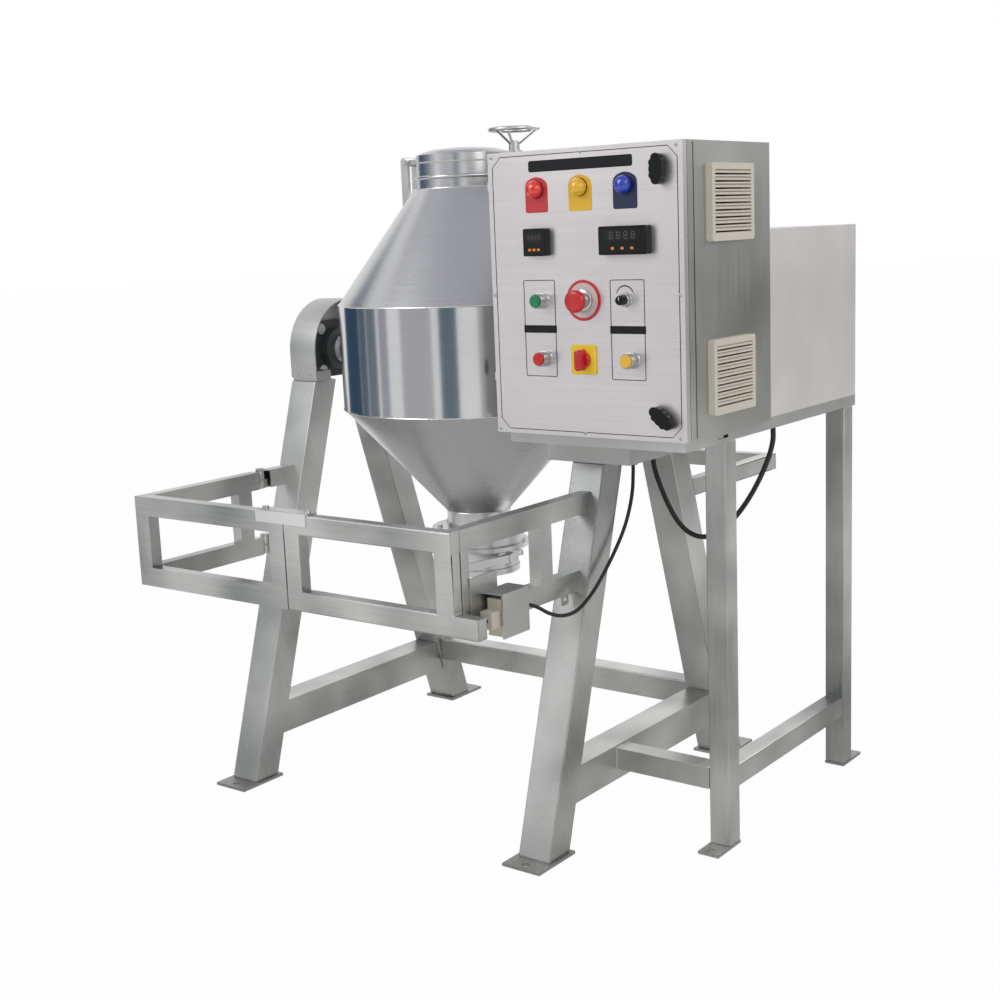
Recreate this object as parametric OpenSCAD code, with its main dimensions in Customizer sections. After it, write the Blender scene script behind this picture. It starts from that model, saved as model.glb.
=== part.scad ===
// Double cone mixer on two leaning trestles, with a drive cabinet and a tube guard.
// The vessel turns end over end about the X axis. The idle bearing is at -X and
// the drive at +X, +Y points to the rear and +Z up. The origin is on the floor
// under the middle of the vessel, at the centre of the trestles' anchor holes.

/* [Vessel] */
// Height of the vessel's turning axis above the floor
axis_h = 914; // [905:1:930]
// Outer radius of the cylindrical band
vessel_r = 275; // [265:1:278]
// Height of the cylindrical band
band_h = 216; // [206:2:220]
// Height of each cone
cone_h = 229; // [222:1:234]
// Radius at the top of the upper cone
mouth_r = 106; // [102:1:110]
// Radius of the collar that carries the lid
collar_r = 99; // [95:1:101]
// Height of the collar
collar_h = 50; // [46:1:54]
// Radius of the outlet neck
neck_r = 68; // [62:1:72]
// Height of the outlet neck
neck_h = 36; // [30:1:40]
// Sheet thickness of the vessel
shell_t = 4; // [3:0.5:6]
// Radius of the trunnion shafts
shaft_r = 25; // [20:1:28]
// Radius of the outlet flange
outlet_flange_r = 102; // [96:1:108]
// Radius of the outlet valve's body
valve_r = 80; // [76:1:84]

/* [Lid and clamp] */
// Distance of the lid's hinge pin from the vessel's axis
hinge_x = 145; // [138:1:152]
// Radius of the lid's hinge pin
hinge_pin_r = 5; // [4:0.5:6]
// Distance of the clamp screw from the vessel's axis
clamp_x = 130; // [124:1:140]
// Outer radius of the handwheel
wheel_r = 52; // [46:1:58]
// Radius of the clamp screw
screw_r = 6; // [5:0.5:7]

/* [Trestles] */
// Distance of each trestle's middle from the vessel's axis
leg_x = 389; // [386:1:394]
// Width of a leg along X
leg_w = 72; // [66:1:76]
// Depth of a leg along Y at one height
leg_d = 67.3; // [60:0.1:70]
// Lean of a leg from the vertical in degrees
lean = 17.06; // [16:0.01:18]
// Wall thickness of the square tubes
tube_t = 3; // [2:0.5:4]
// Height of the underside of the cross beams
cross_beam_z = 90; // [70:1:110]
// Height of a cross beam
cross_beam_h = 70; // [60:1:76]
// Height of the underside of the rear tie beam
tie_z = 115; // [100:1:130]
// Thickness of every foot plate
foot_t = 6; // [4:1:10]
// Radius of the anchor holes in the foot plates
anchor_r = 7; // [5:0.5:8]

/* [Drive stand] */
// Distance of the stand legs' middle from the vessel's axis
stand_x = 648.5; // [645:0.5:650]
// Side of a stand leg's square tube
stand_w = 42; // [38:1:42]
// Position of the front stand leg along Y
stand_front_y = -110; // [-125:1:-100]
// Position of the rear stand leg along Y
stand_rear_y = 397; // [380:1:402]

/* [Cabinet and casing] */
// Width of the cabinet
cabinet_w = 400; // [396:1:410]
// Height of the cabinet
cabinet_h = 500; // [495:1:520]
// Depth of the cabinet with its door
cabinet_d = 307; // [300:1:320]
// Depth of the door pan
door_d = 14; // [12:1:20]
// Sheet thickness of the cabinet and casing
sheet_t = 2; // [1.5:0.5:3]
// Right face of the drive casing along X
casing_x1 = 670; // [668:1:676]
// Rear face of the drive casing along Y
casing_y1 = 428; // [420:1:440]
// Height of the drive casing above its tray
casing_h = 348; // [330:1:370]
// Side of a vent grille's frame across its louvres
grille_w = 150; // [140:1:160]
// Height of a vent grille's frame
grille_h = 130; // [120:1:140]

/* [Guard] */
// Height of the guard's rectangular tube
rail_h = 38; // [34:1:42]
// Thickness of the guard's rectangular tube
rail_t = 25; // [20:1:30]
// Front face of the guard along Y
guard_y = -592; // [-610:1:-580]
// Outer face of the guard's arms along X
guard_x = 404; // [400:1:408]
// Underside of the guard's upper rail
upper_rail_z = 634; // [620:1:640]
// Underside of the guard's lower rail
lower_rail_z = 491; // [480:1:500]
// Height of the rear guard's rail
rear_rail_h = 36; // [30:1:42]
// Rear face of the rear guard along Y
rear_guard_y = 554; // [540:1:575]

/* [Hidden] */
$fn = 64;

// Clearances and overruns
seat_gap = 0.3;
run_gap = 0.05;
over = 1;

// Heights that follow the turning axis
band_top = axis_h + band_h / 2;
band_low = axis_h - band_h / 2;
mouth_z = band_top + cone_h;
rim_z = mouth_z + collar_h;
neck_top_z = band_low - cone_h;
outlet_z = neck_top_z - neck_h;

// Collar bead
bead_r = 4;
bead_z = mouth_z + 0.44 * collar_h;

// Trestle tops
seat_h = 22;
seat_z = axis_h - 64;
leg_half = leg_w / 2;
slope = tan(lean);
leg_top_y = 80.4;
idle_top_z = seat_z;
tray_h = 22;
head_h = 52;
drive_drop = 190;
head_z = axis_h - drive_drop;
tray_z = head_z + head_h;
floor_z = tray_z + tray_h;

// Middle of a front or rear leg along Y at height z
function leg_y(z) = leg_top_y + (seat_z - z) * slope;

// Beams
cross_beam_w = 64;
tie_h = 54;
tie_d = 50;
tie_y = leg_y(tie_z + tie_h / 2) - 3.4;
stand_beam_z = 112;
stand_beam_h = 43;
stand_beam_w = 38;

// Foot plates
foot_w = 85;
foot_l = 117;
foot_overhang = 42;
anchor_in = 17;
anchor_y = leg_y(foot_t) + leg_d / 2 + foot_overhang - anchor_in;
stand_foot_w = 43;
stand_foot_l = 88;
stand_anchor_in = 16;

// Head box and base tray
head_x0 = 297;
head_x1 = 483;
head_half_y = 155;
tray_y0 = -270;
slot_y = -128;
slot_w = 60;

// Bearings
housing_side = 126;
housing_round = 20;
housing_t = 15;
housing_boss_r = 46;
housing_w = 38;
ring_r = 32;
ring_w = 48;
bolt_pitch = 92;
bolt_r = 7;
bolt_head_r = 12;
bolt_head_h = 9;
seat_plate_t = 10;
seat_plate_x = leg_x + leg_half - 11;
seat_hole_r = 36;
housing_x = seat_plate_x - housing_t / 2;

// Idle bearing cover
cover_r = 112;
cover_t = 3;
cover_w = 76;
cover_low_z = seat_z + 7;
cover_screw_r = 3;
cover_screw_in = 18;

// Trunnions
pad_r = 60;
pad_t = 8;
idle_shaft_end = seat_plate_x + 4;
drive_shaft_end = 470;
coupling_r = 44;
coupling_l = 52;

// Outlet
spool_flange_t = 8;
spool_r = 96;
spool_h = 26;
spool_base_r = 105;
spool_base_t = 10;
outlet_bore_r = 62;
outlet_bolt_pcr = 85;
outlet_bolt_r = 5;
outlet_bolts = 8;
valve_h = 41;
valve_clamp_h = 12;
valve_clamp_r = 84;
valve_yaw = -15;
valve_top_z = outlet_z - spool_flange_t - spool_h - spool_base_t;
stem_drop = 13;
stem_z = valve_top_z - stem_drop;
stem_r = 6;
stem_boss_r = 11;
stem_boss_x = 106;
disc_t = 6;
lever_hub_r = 12;
lever_t = 10;
lever_l = 145;
lever_w = 16;
lever_gap = 2;
index_r = 34;
index_t = 3;

// Lid
gasket_t = 3;
lid_rim_h = 14;
lid_rim_w = 14;
lid_t = 3;
dome_h = 14;
lid_z = rim_z + seat_gap + gasket_t;
lug_t = 11;
hinge_z = rim_z + 10;
ear_t = 8;
ear_in = 13;
ear_r = 9;
ear_drop = 72;
pin_head_r = 7;
pin_head_t = 3;
lug_w = 32;
clamp_lug_z = rim_z - 18;
clamp_lug_t = 12;
clamp_hole_r = 9;
tip_r = 5;
washer_r = 11;
washer_t = 3;
hub_r = 11;
hub_h = 14;
rim_wire_r = 4;
spoke_r = 3;
rim_rise = 38;
spokes = 3;

// Gearbox and motor
pedestal_w = 150;
gear_x = 520;
gear_w = 96;
gear_d = 150;
gear_h = 150;
worm_rise = 62;
worm_r = 42;
gear_shaft_r = 16;
motor_r = 70;
motor_l = 200;
motor_fins = 16;
fin_t = 4;
fin_h = 8;
cowl_l = 50;
motor_foot_h = 12;

// Cabinet
cabinet_x = 290;
cabinet_y = 8 - cabinet_d;
cabinet_z = floor_z;
cabinet_back = cabinet_y + cabinet_d;
body_y = cabinet_y + door_d;
lip_w = 25;
notch_y = -92;
notch_x = 632;
notch_z = axis_h + 130;
shaft_hole_r = shaft_r + 6;
casing_x0 = head_x0;
door_gap = 1.3;
knuckle_r = 4.5;
knuckle_h = 30;
knuckle_x = cabinet_x - knuckle_r;
knuckle_pin_r = 2.5;
hinge_zs_share = [0.16, 0.84];

// Door devices, as distances from the door's left and lower edges
device_hole_r = 11;
lamp_z = 433;
lamp_xs = [105, 197, 288];
lamp_bezel_r = 15.5;
lamp_bezel_t = 4;
lamp_lens_r = 15;
lamp_lens_h = 16;
body_r = 10.5;
body_l = 45;
timer_at = [107, 342];
timer_side = 48;
timer_out = 16;
meter_at = [290, 341];
meter_w = 96;
meter_out = 17;
meter_behind = 60;
bezel_r = 12.5;
bezel_t = 24;
cap_r = 9.5;
cap_out = 4;
start_at = [112, 240];
stop_at = [115, 138];
inch_at = [297, 138];
cap_travel = 4;
stop_ring_at = [198, 240];
stop_ring_r = 35;
stop_ring_t = 2;
stop_neck_r = 12;
stop_neck_h = 22;
stop_head_r = 20;
stop_head_h = 13;
speed_at = [286, 241];
speed_base_r = 11;
speed_base_t = 12;
speed_r = 7.5;
speed_h = 13;
mode_at = [196, 137];
mode_plate = 52;
mode_plate_t = 3;
mode_r = 14;
mode_grip_l = 36;
mode_base_t = 7;
mode_grip_t = 9;
mode_grip_h = 21;
knob_x = 358;
knob_zs = [42, 455];
knob_r = 12.5;
knob_end_r = 8.5;
knob_end_at = 17;
lower_knob_turn = 50;
knob_h = 18;
knob_neck_r = 9;
knob_neck_h = 6;
knob_stem_r = 5;
cam_l = 34;
cam_w = 16;
cam_t = 3;

// Vents
grille_out = 12;
grille_y = -149;
grille_zs = [axis_h - 14, axis_h + 282];
vent_hole = 112;
louvres = 9;
louvre_t = 3;
frame_edge = 11;
fan_frame_d = 30;
fan_r = 50;
fan_hub_r = 18;
fan_d = 20;
fan_blades = 7;
blade_t = 2;
blade_pitch = 38;
fan_pin_r = 3;

// Component plate
comp_x0 = 322;
comp_x1 = 640;
comp_y = -112;
comp_z_in = 34;
comp_t = 2;
stud_r = 4;
inverter = [110, 90, 170];
contactor = [45, 80, 75];
terminal = [200, 40, 45];

// Guard
post_in = 22;
mid_post_y0 = -339;
mid_post_w = 38;
joint_x = 10;
joint_gap = 0.5;
joint_plate_l = 128;
joint_plate_t = 4;
corner_key_x = 455;
gate_pin_y = -262;
gate_pin_r = 5;
gate_barrel_r = 9;
gate_tongue_t = 8;
gate_ahead = 14;
gate_behind = 20;
hinge_guard_x = guard_x - rail_t / 2;
lug_y = -251;
lug_h = 22;
lug_hole_r = 5;
rear_outer_x = 425;
rear_rail_z = 605;
end_bolt_r = 6;

// Limit switch
bracket_t = 3;
bracket_x0 = guard_x + seat_gap;
bracket_x1 = 450;
bracket_y0 = -515;
bracket_y1 = -440;
bracket_z0 = 476;
bracket_z1 = 555;
tab_y0 = -548;
tab_z1 = 585;
switch_w = 32;
switch_h = 66;
turret_w = 24;
turret_d = 26;
turret_h = 30;
plunger_r = 4;
plunger_travel = 4;
plunger_z = 512;

// Glands and cables
gland_r = 9;
gland_h = 12;
gland_hex_r = 11;
switch_cable_r = 3.5;
drive_cable_r = 5;
switch_route = [[428, -428, 512], [428, -416, 512], [431, -392, 503], [436, -358, 483], [439, -320, 471],
    [440, -275, 472], [440, -225, 494], [440, -180, 527], [440, -140, 563], [440, -110, 597],
    [440, -90, 632], [440, -79, 664], [440, -76, 690], [440, -75, 701], [440, -75, 712]];
drive_route = [[415, 40, 712], [415, 40, 701], [418, 40, 684], [428, 40, 656], [441, 40, 627], [456, 40, 600],
    [473, 41, 577], [493, 43, 561], [516, 47, 554], [541, 53, 559], [566, 60, 577], [590, 69, 606],
    [611, 79, 641], [628, 89, 679], [640, 98, 716], [645, 104, 745], [645, 105, 765], [645, 105, 783]];

// Rectangular tube along X, Y or Z from one corner, open at its ends
module tube_x(at, l, w, h, t = tube_t) {
    translate(at) difference() {
        cube([l, w, h]);
        translate([-over, t, t]) cube([l + 2 * over, w - 2 * t, h - 2 * t]);
    }
}

module tube_y(at, l, w, h, t = tube_t) {
    translate(at) difference() {
        cube([w, l, h]);
        translate([t, -over, t]) cube([w - 2 * t, l + 2 * over, h - 2 * t]);
    }
}

module tube_z(at, l, w, d, t = tube_t) {
    translate(at) difference() {
        cube([w, d, l]);
        translate([t, t, -over]) cube([w - 2 * t, d - 2 * t, l + 2 * over]);
    }
}

// Cylinder along X or Y that starts at a point
module rod_x(at, r, l) {
    translate(at) rotate([0, 90, 0]) cylinder(r = r, h = l);
}

module rod_y(at, r, l) {
    translate(at) rotate([-90, 0, 0]) cylinder(r = r, h = l);
}

// Profile given in Y and Z, drawn out along X from x0 by l
module along_x(x0, l) {
    translate([x0, 0, 0]) rotate([90, 0, 90]) linear_extrude(l) children();
}

module rounded(w, h, r) {
    square([w - 2 * r, h], center = true);
    square([w, h - 2 * r], center = true);
    for (x = [-1, 1], y = [-1, 1]) translate([x * (w / 2 - r), y * (h / 2 - r)]) circle(r);
}

// Slice of a leaning leg between two heights, as an outline in Y and Z
module leg_outline(z0, z1, half) {
    polygon([[leg_y(z0) - half, z0], [leg_y(z0) + half, z0], [leg_y(z1) + half, z1], [leg_y(z1) - half, z1]]);
}

module leg(x, z1) {
    wall = tube_t / cos(lean);
    difference() {
        along_x(x - leg_half, leg_w) leg_outline(foot_t, z1, leg_d / 2);
        along_x(x - leg_half + tube_t, leg_w - 2 * tube_t)
            leg_outline(foot_t - over, z1 + over, leg_d / 2 - wall);
    }
}

module idle_front_leg() {
    color("silver") mirror([0, 1, 0]) leg(-leg_x, idle_top_z);
}

module idle_rear_leg() {
    color("silver") leg(-leg_x, idle_top_z);
}

module drive_front_leg() {
    color("silver") mirror([0, 1, 0]) leg(leg_x, head_z);
}

module drive_rear_leg() {
    color("silver") leg(leg_x, head_z);
}

// Outline of a cross beam, whose ends are cut to the lean of the legs
module cross_outline(z0, z1, in) {
    y0 = leg_y(z0) - leg_d / 2 - in;
    y1 = leg_y(z1) - leg_d / 2 - in;
    polygon([[-y0, z0], [y0, z0], [y1, z1], [-y1, z1]]);
}

module cross_beam(x) {
    z1 = cross_beam_z + cross_beam_h;
    difference() {
        along_x(x - cross_beam_w / 2, cross_beam_w) cross_outline(cross_beam_z, z1, 0);
        along_x(x - cross_beam_w / 2 + tube_t, cross_beam_w - 2 * tube_t)
            cross_outline(cross_beam_z + tube_t, z1 - tube_t, -over);
    }
}

module frame_beams() {
    color("silver") {
        cross_beam(-leg_x);
        cross_beam(leg_x);
        tube_x([-leg_x + leg_half, tie_y - tie_d / 2, tie_z], 2 * (leg_x - leg_half), tie_d, tie_h);
        tube_x([leg_x + cross_beam_w / 2, stand_front_y - stand_w / 2, stand_beam_z],
            stand_x - stand_w / 2 - leg_x - cross_beam_w / 2, stand_w, stand_beam_h);
        tube_y([stand_x - stand_beam_w / 2, stand_front_y + stand_w / 2, stand_beam_z],
            stand_rear_y - stand_front_y - stand_w, stand_beam_w, stand_beam_h);
    }
}

// One foot plate with its anchor hole near the outer end
module foot_plate(w, l, hole_in) {
    difference() {
        translate([-w / 2, -l, 0]) cube([w, l, foot_t]);
        translate([0, -hole_in, -over]) cylinder(r = anchor_r, h = foot_t + 2 * over);
    }
}

module foot_plates() {
    outer = leg_y(foot_t) + leg_d / 2 + foot_overhang;
    stand_out = stand_foot_l - stand_w / 2;
    color("gray") {
        for (x = [-leg_x, leg_x]) {
            translate([x, outer, 0]) foot_plate(foot_w, foot_l, anchor_in);
            mirror([0, 1, 0]) translate([x, outer, 0]) foot_plate(foot_w, foot_l, anchor_in);
        }
        translate([stand_x, stand_rear_y + stand_out, 0])
            foot_plate(stand_foot_w, stand_foot_l, stand_anchor_in);
        translate([stand_x, stand_front_y - stand_out, 0]) mirror([0, 1, 0])
            foot_plate(stand_foot_w, stand_foot_l, stand_anchor_in);
    }
}

module stand_legs() {
    color("silver") for (y = [stand_front_y, stand_rear_y])
        tube_z([stand_x - stand_w / 2, y - stand_w / 2, foot_t], tray_z - foot_t, stand_w, stand_w);
}

// Upright walls around a rectangular seat under the tray
module seat_frame(x, y, w, d) {
    translate([x, y, tray_z]) difference() {
        cube([w, d, tray_h - tube_t / 2]);
        translate([tube_t, tube_t, -over]) cube([w - 2 * tube_t, d - 2 * tube_t, tray_h + 2 * over]);
    }
}

// Folded tray that carries the cabinet and the casing on the stand and the head box
module base_tray() {
    w = casing_x1 - head_x0;
    d = casing_y1 - tray_y0;
    color("silver") difference() {
        union() {
            difference() {
                translate([head_x0, tray_y0, tray_z]) cube([w, d, tray_h]);
                translate([head_x0 + tube_t, tray_y0 + tube_t, tray_z - over])
                    cube([w - 2 * tube_t, d - 2 * tube_t, tray_h - tube_t + over]);
            }
            seat_frame(head_x0, -head_half_y, head_x1 - head_x0, 2 * head_half_y);
            for (y = [stand_front_y, stand_rear_y])
                seat_frame(stand_x - stand_w / 2, y - stand_w / 2, stand_w, stand_w);
        }
        translate([casing_x1 - tube_t - over, slot_y - slot_w / 2, tray_z + tray_h / 3])
            cube([tube_t + 2 * over, slot_w - stand_w / 2, tray_h / 4]);
    }
}

// Box on the drive trestle's legs, closed by their tops
module head_box() {
    w = head_x1 - head_x0;
    color("silver") difference() {
        translate([head_x0, -head_half_y, head_z]) cube([w, 2 * head_half_y, head_h]);
        translate([head_x0 + tube_t, -head_half_y + tube_t, head_z + tube_t])
            cube([w - 2 * tube_t, 2 * (head_half_y - tube_t), head_h - 2 * tube_t]);
        for (g = [switch_route[14], drive_route[0]])
            translate([g[0], g[1], head_z - over]) cylinder(r = gland_r / 2, h = tube_t + 2 * over);
    }
}

// Arch over the axis with straight sides down to height z
module arch(r, z) {
    intersection() {
        union() {
            translate([0, axis_h]) circle(r);
            translate([-r, z]) square([2 * r, axis_h - z]);
        }
        translate([-r, z]) square([2 * r, axis_h + r - z]);
    }
}

// Arched plate that takes one flange bearing, with its bolt holes
module seat_plate(x, z0, half) {
    difference() {
        along_x(x, seat_plate_t) arch(half, z0);
        rod_x([x - over, 0, axis_h], seat_hole_r, seat_plate_t + 2 * over);
        for (y = [-1, 1], z = [-1, 1])
            rod_x([x - over, y * bolt_pitch / 2, axis_h + z * bolt_pitch / 2], bolt_r, seat_plate_t + 2 * over);
    }
}

module bearing_seats() {
    half = cover_r - cover_t - seat_gap;
    arm_y = housing_side / 2 + over;
    color("gray") {
        for (side = [-1, 1]) scale([1, side, 1])
            translate([-leg_x - leg_half, arm_y, seat_z]) cube([leg_w, half - arm_y, seat_h]);
        seat_plate(-seat_plate_x - seat_plate_t, seat_z, half);
        seat_plate(seat_plate_x, floor_z, pedestal_w / 2 + bolt_head_r);
        for (y = [-1, 1])
            translate([seat_plate_x + seat_plate_t, y * pedestal_w / 2 - seat_plate_t / 2, floor_z])
                cube([leg_half, seat_plate_t, axis_h - floor_z - housing_boss_r]);
    }
}

// Square flange housing with a round boss, seated at x = 0 and open for the ring
module housing() {
    difference() {
        union() {
            along_x(0, housing_t) rounded(housing_side, housing_side, housing_round);
            rod_x([0, 0, 0], housing_boss_r, housing_w);
        }
        rod_x([-over, 0, 0], ring_r + run_gap, housing_w + 2 * over);
        for (y = [-1, 1], z = [-1, 1])
            rod_x([-over, y * bolt_pitch / 2, z * bolt_pitch / 2], bolt_r, housing_t + 2 * over);
    }
}

module bearing_housings() {
    color("dimgray") {
        translate([-seat_plate_x, 0, axis_h]) housing();
        translate([seat_plate_x, 0, axis_h]) mirror([1, 0, 0]) housing();
    }
}

// Hexagon bolt through the housing and the seat plate, with its nut behind
module bearing_bolt() {
    rod_x([housing_t, 0, 0], bolt_head_r, bolt_head_h);
    rod_x([-seat_plate_t - bolt_head_h, 0, 0], bolt_r - run_gap, seat_plate_t + housing_t + 2 * bolt_head_h);
    rod_x([-seat_plate_t - bolt_head_h, 0, 0], bolt_head_r, bolt_head_h);
}

module bearing_bolts() {
    color("lightgray") for (side = [-1, 1], y = [-1, 1], z = [-1, 1])
        translate([side * seat_plate_x, y * bolt_pitch / 2, axis_h + z * bolt_pitch / 2])
            scale([-side, 1, 1]) bearing_bolt();
}

module idle_bearing_cover() {
    color("silver") {
        along_x(-leg_x - cover_w / 2, cover_w) difference() {
            arch(cover_r, cover_low_z);
            arch(cover_r - cover_t, cover_low_z - over);
        }
        for (side = [-1, 1], x = [-1, 1])
            rod_y([-leg_x + x * cover_screw_in, side * cover_r - cover_screw_r / 2, cover_low_z + seat_h / 3],
                cover_screw_r, cover_screw_r);
    }
}

// Outline of the vessel's outside, turned about its own axis
module vessel_outline() {
    polygon([[0, outlet_z], [neck_r, outlet_z], [neck_r, neck_top_z], [vessel_r, band_low],
        [vessel_r, band_top], [mouth_r, mouth_z], [collar_r, mouth_z], [collar_r, rim_z], [0, rim_z]]);
}

module vessel_hollow() {
    polygon([[0, outlet_z - over], [neck_r - shell_t, outlet_z - over], [neck_r - shell_t, neck_top_z],
        [vessel_r - shell_t, band_low], [vessel_r - shell_t, band_top], [collar_r - shell_t, mouth_z],
        [collar_r - shell_t, rim_z + over], [0, rim_z + over]]);
}

module vessel_shell() {
    color("silver") {
        rotate_extrude() difference() {
            union() {
                vessel_outline();
                translate([collar_r, bead_z]) circle(bead_r);
            }
            vessel_hollow();
        }
    }
}

// Welded pad and shaft, cut to the band's round wall
module trunnion(end) {
    difference() {
        union() {
            rod_x([vessel_r - 2 * pad_t, 0, axis_h], pad_r, 3 * pad_t);
            rod_x([vessel_r, 0, axis_h], shaft_r, end - vessel_r);
        }
        rotate_extrude() vessel_outline();
    }
}

module trunnion_shafts() {
    color("lightgray") {
        mirror([1, 0, 0]) trunnion(idle_shaft_end);
        trunnion(drive_shaft_end);
    }
}

module bearing_rings() {
    color("gray") for (side = [-1, 1]) scale([side, 1, 1])
        difference() {
            rod_x([seat_plate_x - ring_w, 0, axis_h], ring_r, ring_w - 2 * over);
            rod_x([seat_plate_x - ring_w - over, 0, axis_h], shaft_r, ring_w + 2 * over);
        }
}

module outlet_bolt_circle(r, z, l) {
    for (i = [0:outlet_bolts - 1]) rotate(i * 360 / outlet_bolts)
        translate([outlet_bolt_pcr, 0, z]) cylinder(r = r, h = l);
}

// Flanged spool under the neck
module outlet_spool() {
    z0 = valve_top_z;
    z1 = outlet_z;
    color("lightgray") difference() {
        union() {
            translate([0, 0, z1 - spool_flange_t]) cylinder(r = outlet_flange_r, h = spool_flange_t);
            translate([0, 0, z0]) cylinder(r = spool_r, h = z1 - z0);
            translate([0, 0, z0]) cylinder(r = spool_base_r, h = spool_base_t);
            outlet_bolt_circle(outlet_bolt_r, z1 - over, outlet_bolt_r + over);
        }
        translate([0, 0, z0 - over]) cylinder(r = outlet_bore_r, h = z1 - z0 + 2 * over);
    }
}

// Ring of the butterfly valve with its stem bosses and the index plate
module valve_body() {
    z0 = valve_top_z - valve_h;
    color("silver") rotate(valve_yaw) {
        difference() {
            union() {
                translate([0, 0, z0]) cylinder(r = valve_r, h = valve_h);
                rod_x([-stem_boss_x + spool_h, 0, stem_z], stem_boss_r, 2 * stem_boss_x - spool_h);
            }
            translate([0, 0, z0 - over]) cylinder(r = outlet_bore_r, h = valve_h + 2 * over);
            rod_x([-stem_boss_x, 0, stem_z], stem_r + run_gap, 2 * stem_boss_x + over);
        }
        difference() {
            along_x(stem_boss_x - index_t, index_t) translate([0, stem_z]) intersection() {
                circle(index_r);
                translate([-index_r, 0]) square([2 * index_r, stem_drop]);
            }
            rod_x([stem_boss_x - index_t - over, 0, stem_z], stem_boss_r, index_t + 2 * over);
            for (y = [-1, 1])
                rod_x([stem_boss_x - index_t - over, y * (index_r - stem_boss_r / 1.4), stem_z + stem_drop / 2],
                    stem_r / 2, index_t + 2 * over);
        }
    }
}

// Clamp ring under the valve, closed by an eye bolt and a wing nut
module outlet_clamp() {
    z1 = valve_top_z - valve_h;
    color("lightgray") difference() {
        union() {
            translate([0, 0, z1 - valve_clamp_h]) cylinder(r = valve_clamp_r, h = valve_clamp_h);
            rotate(valve_yaw + 180) translate([valve_clamp_r - valve_clamp_h, -stem_boss_r, z1 - valve_clamp_h])
                cube([2 * valve_clamp_h, 2 * stem_boss_r, valve_clamp_h]);
            rotate(valve_yaw + 180) rod_y([valve_clamp_r + valve_clamp_h / 4, -2 * stem_boss_r, z1 - valve_clamp_h / 2],
                valve_clamp_h / 4, 4 * stem_boss_r);
        }
        translate([0, 0, z1 - valve_clamp_h - over]) cylinder(r = outlet_bore_r, h = valve_clamp_h + 2 * over);
    }
}

module valve_disc() {
    color("silver") rotate(valve_yaw) {
        difference() {
            translate([0, 0, stem_z - disc_t / 2]) cylinder(r = outlet_bore_r - seat_gap, h = disc_t);
            rod_x([-outlet_bore_r, 0, stem_z], stem_r, 2 * outlet_bore_r);
        }
        rod_x([-stem_boss_x + spool_h + stem_r, 0, stem_z], stem_r, 2 * stem_boss_x - spool_h + lever_t - stem_r);
    }
}

// Lever on the stem's end, lying along the valve
module valve_lever() {
    x0 = stem_boss_x + seat_gap;
    color("lightgray") rotate(valve_yaw) difference() {
        union() {
            rod_x([x0, 0, stem_z], lever_hub_r, lever_t);
            translate([x0 + lever_gap, -lever_l, stem_z - lever_w / 2]) cube([lever_t - 2 * lever_gap, lever_l, lever_w]);
            rod_x([x0 + lever_gap, -lever_l, stem_z], lever_w / 2, lever_t - 2 * lever_gap);
        }
        rod_x([x0 - over, 0, stem_z], stem_r, lever_t + 2 * over);
    }
}

// Hinge ears at -X and the clamp's lug at +X, cut to the cone and the collar
module vessel_lugs() {
    color("silver") difference() {
        union() {
            for (side = [-1, 1]) translate([0, side * (ear_in + ear_t / 2) - ear_t / 2, 0]) {
                translate([-hinge_x - ear_r, 0, mouth_z - ear_drop])
                    cube([2 * ear_r, ear_t, hinge_z - mouth_z + ear_drop]);
                rod_y([-hinge_x, 0, hinge_z], ear_r, ear_t);
            }
            translate([0, -lug_w / 2, clamp_lug_z]) cube([clamp_x, lug_w, clamp_lug_t]);
            translate([clamp_x, 0, clamp_lug_z]) cylinder(r = lug_w / 2, h = clamp_lug_t);
        }
        rotate_extrude() union() {
            vessel_outline();
            translate([collar_r, bead_z]) circle(bead_r);
        }
        rod_y([-hinge_x, -collar_r, hinge_z], hinge_pin_r, 2 * collar_r);
        translate([clamp_x, 0, clamp_lug_z - over]) cylinder(r = clamp_hole_r, h = clamp_lug_t + 2 * over);
    }
}

module lid_hinge_pin() {
    half = ear_in + ear_t;
    color("lightgray") {
        rod_y([-hinge_x, -half - pin_head_t, hinge_z], hinge_pin_r, 2 * (half + pin_head_t));
        rod_y([-hinge_x, -half - pin_head_t, hinge_z], pin_head_r, pin_head_t);
    }
}

// Coupling between the trunnion and the gearbox, with the stub that the gearbox turns
module shaft_coupling() {
    color("gray") {
        difference() {
            rod_x([drive_shaft_end - coupling_l / 2, 0, axis_h], coupling_r, coupling_l);
            rod_x([drive_shaft_end - coupling_l, 0, axis_h], shaft_r, coupling_l);
        }
        rod_x([drive_shaft_end + over, 0, axis_h], gear_shaft_r, gear_x - drive_shaft_end + gear_w / 2);
    }
}

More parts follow.
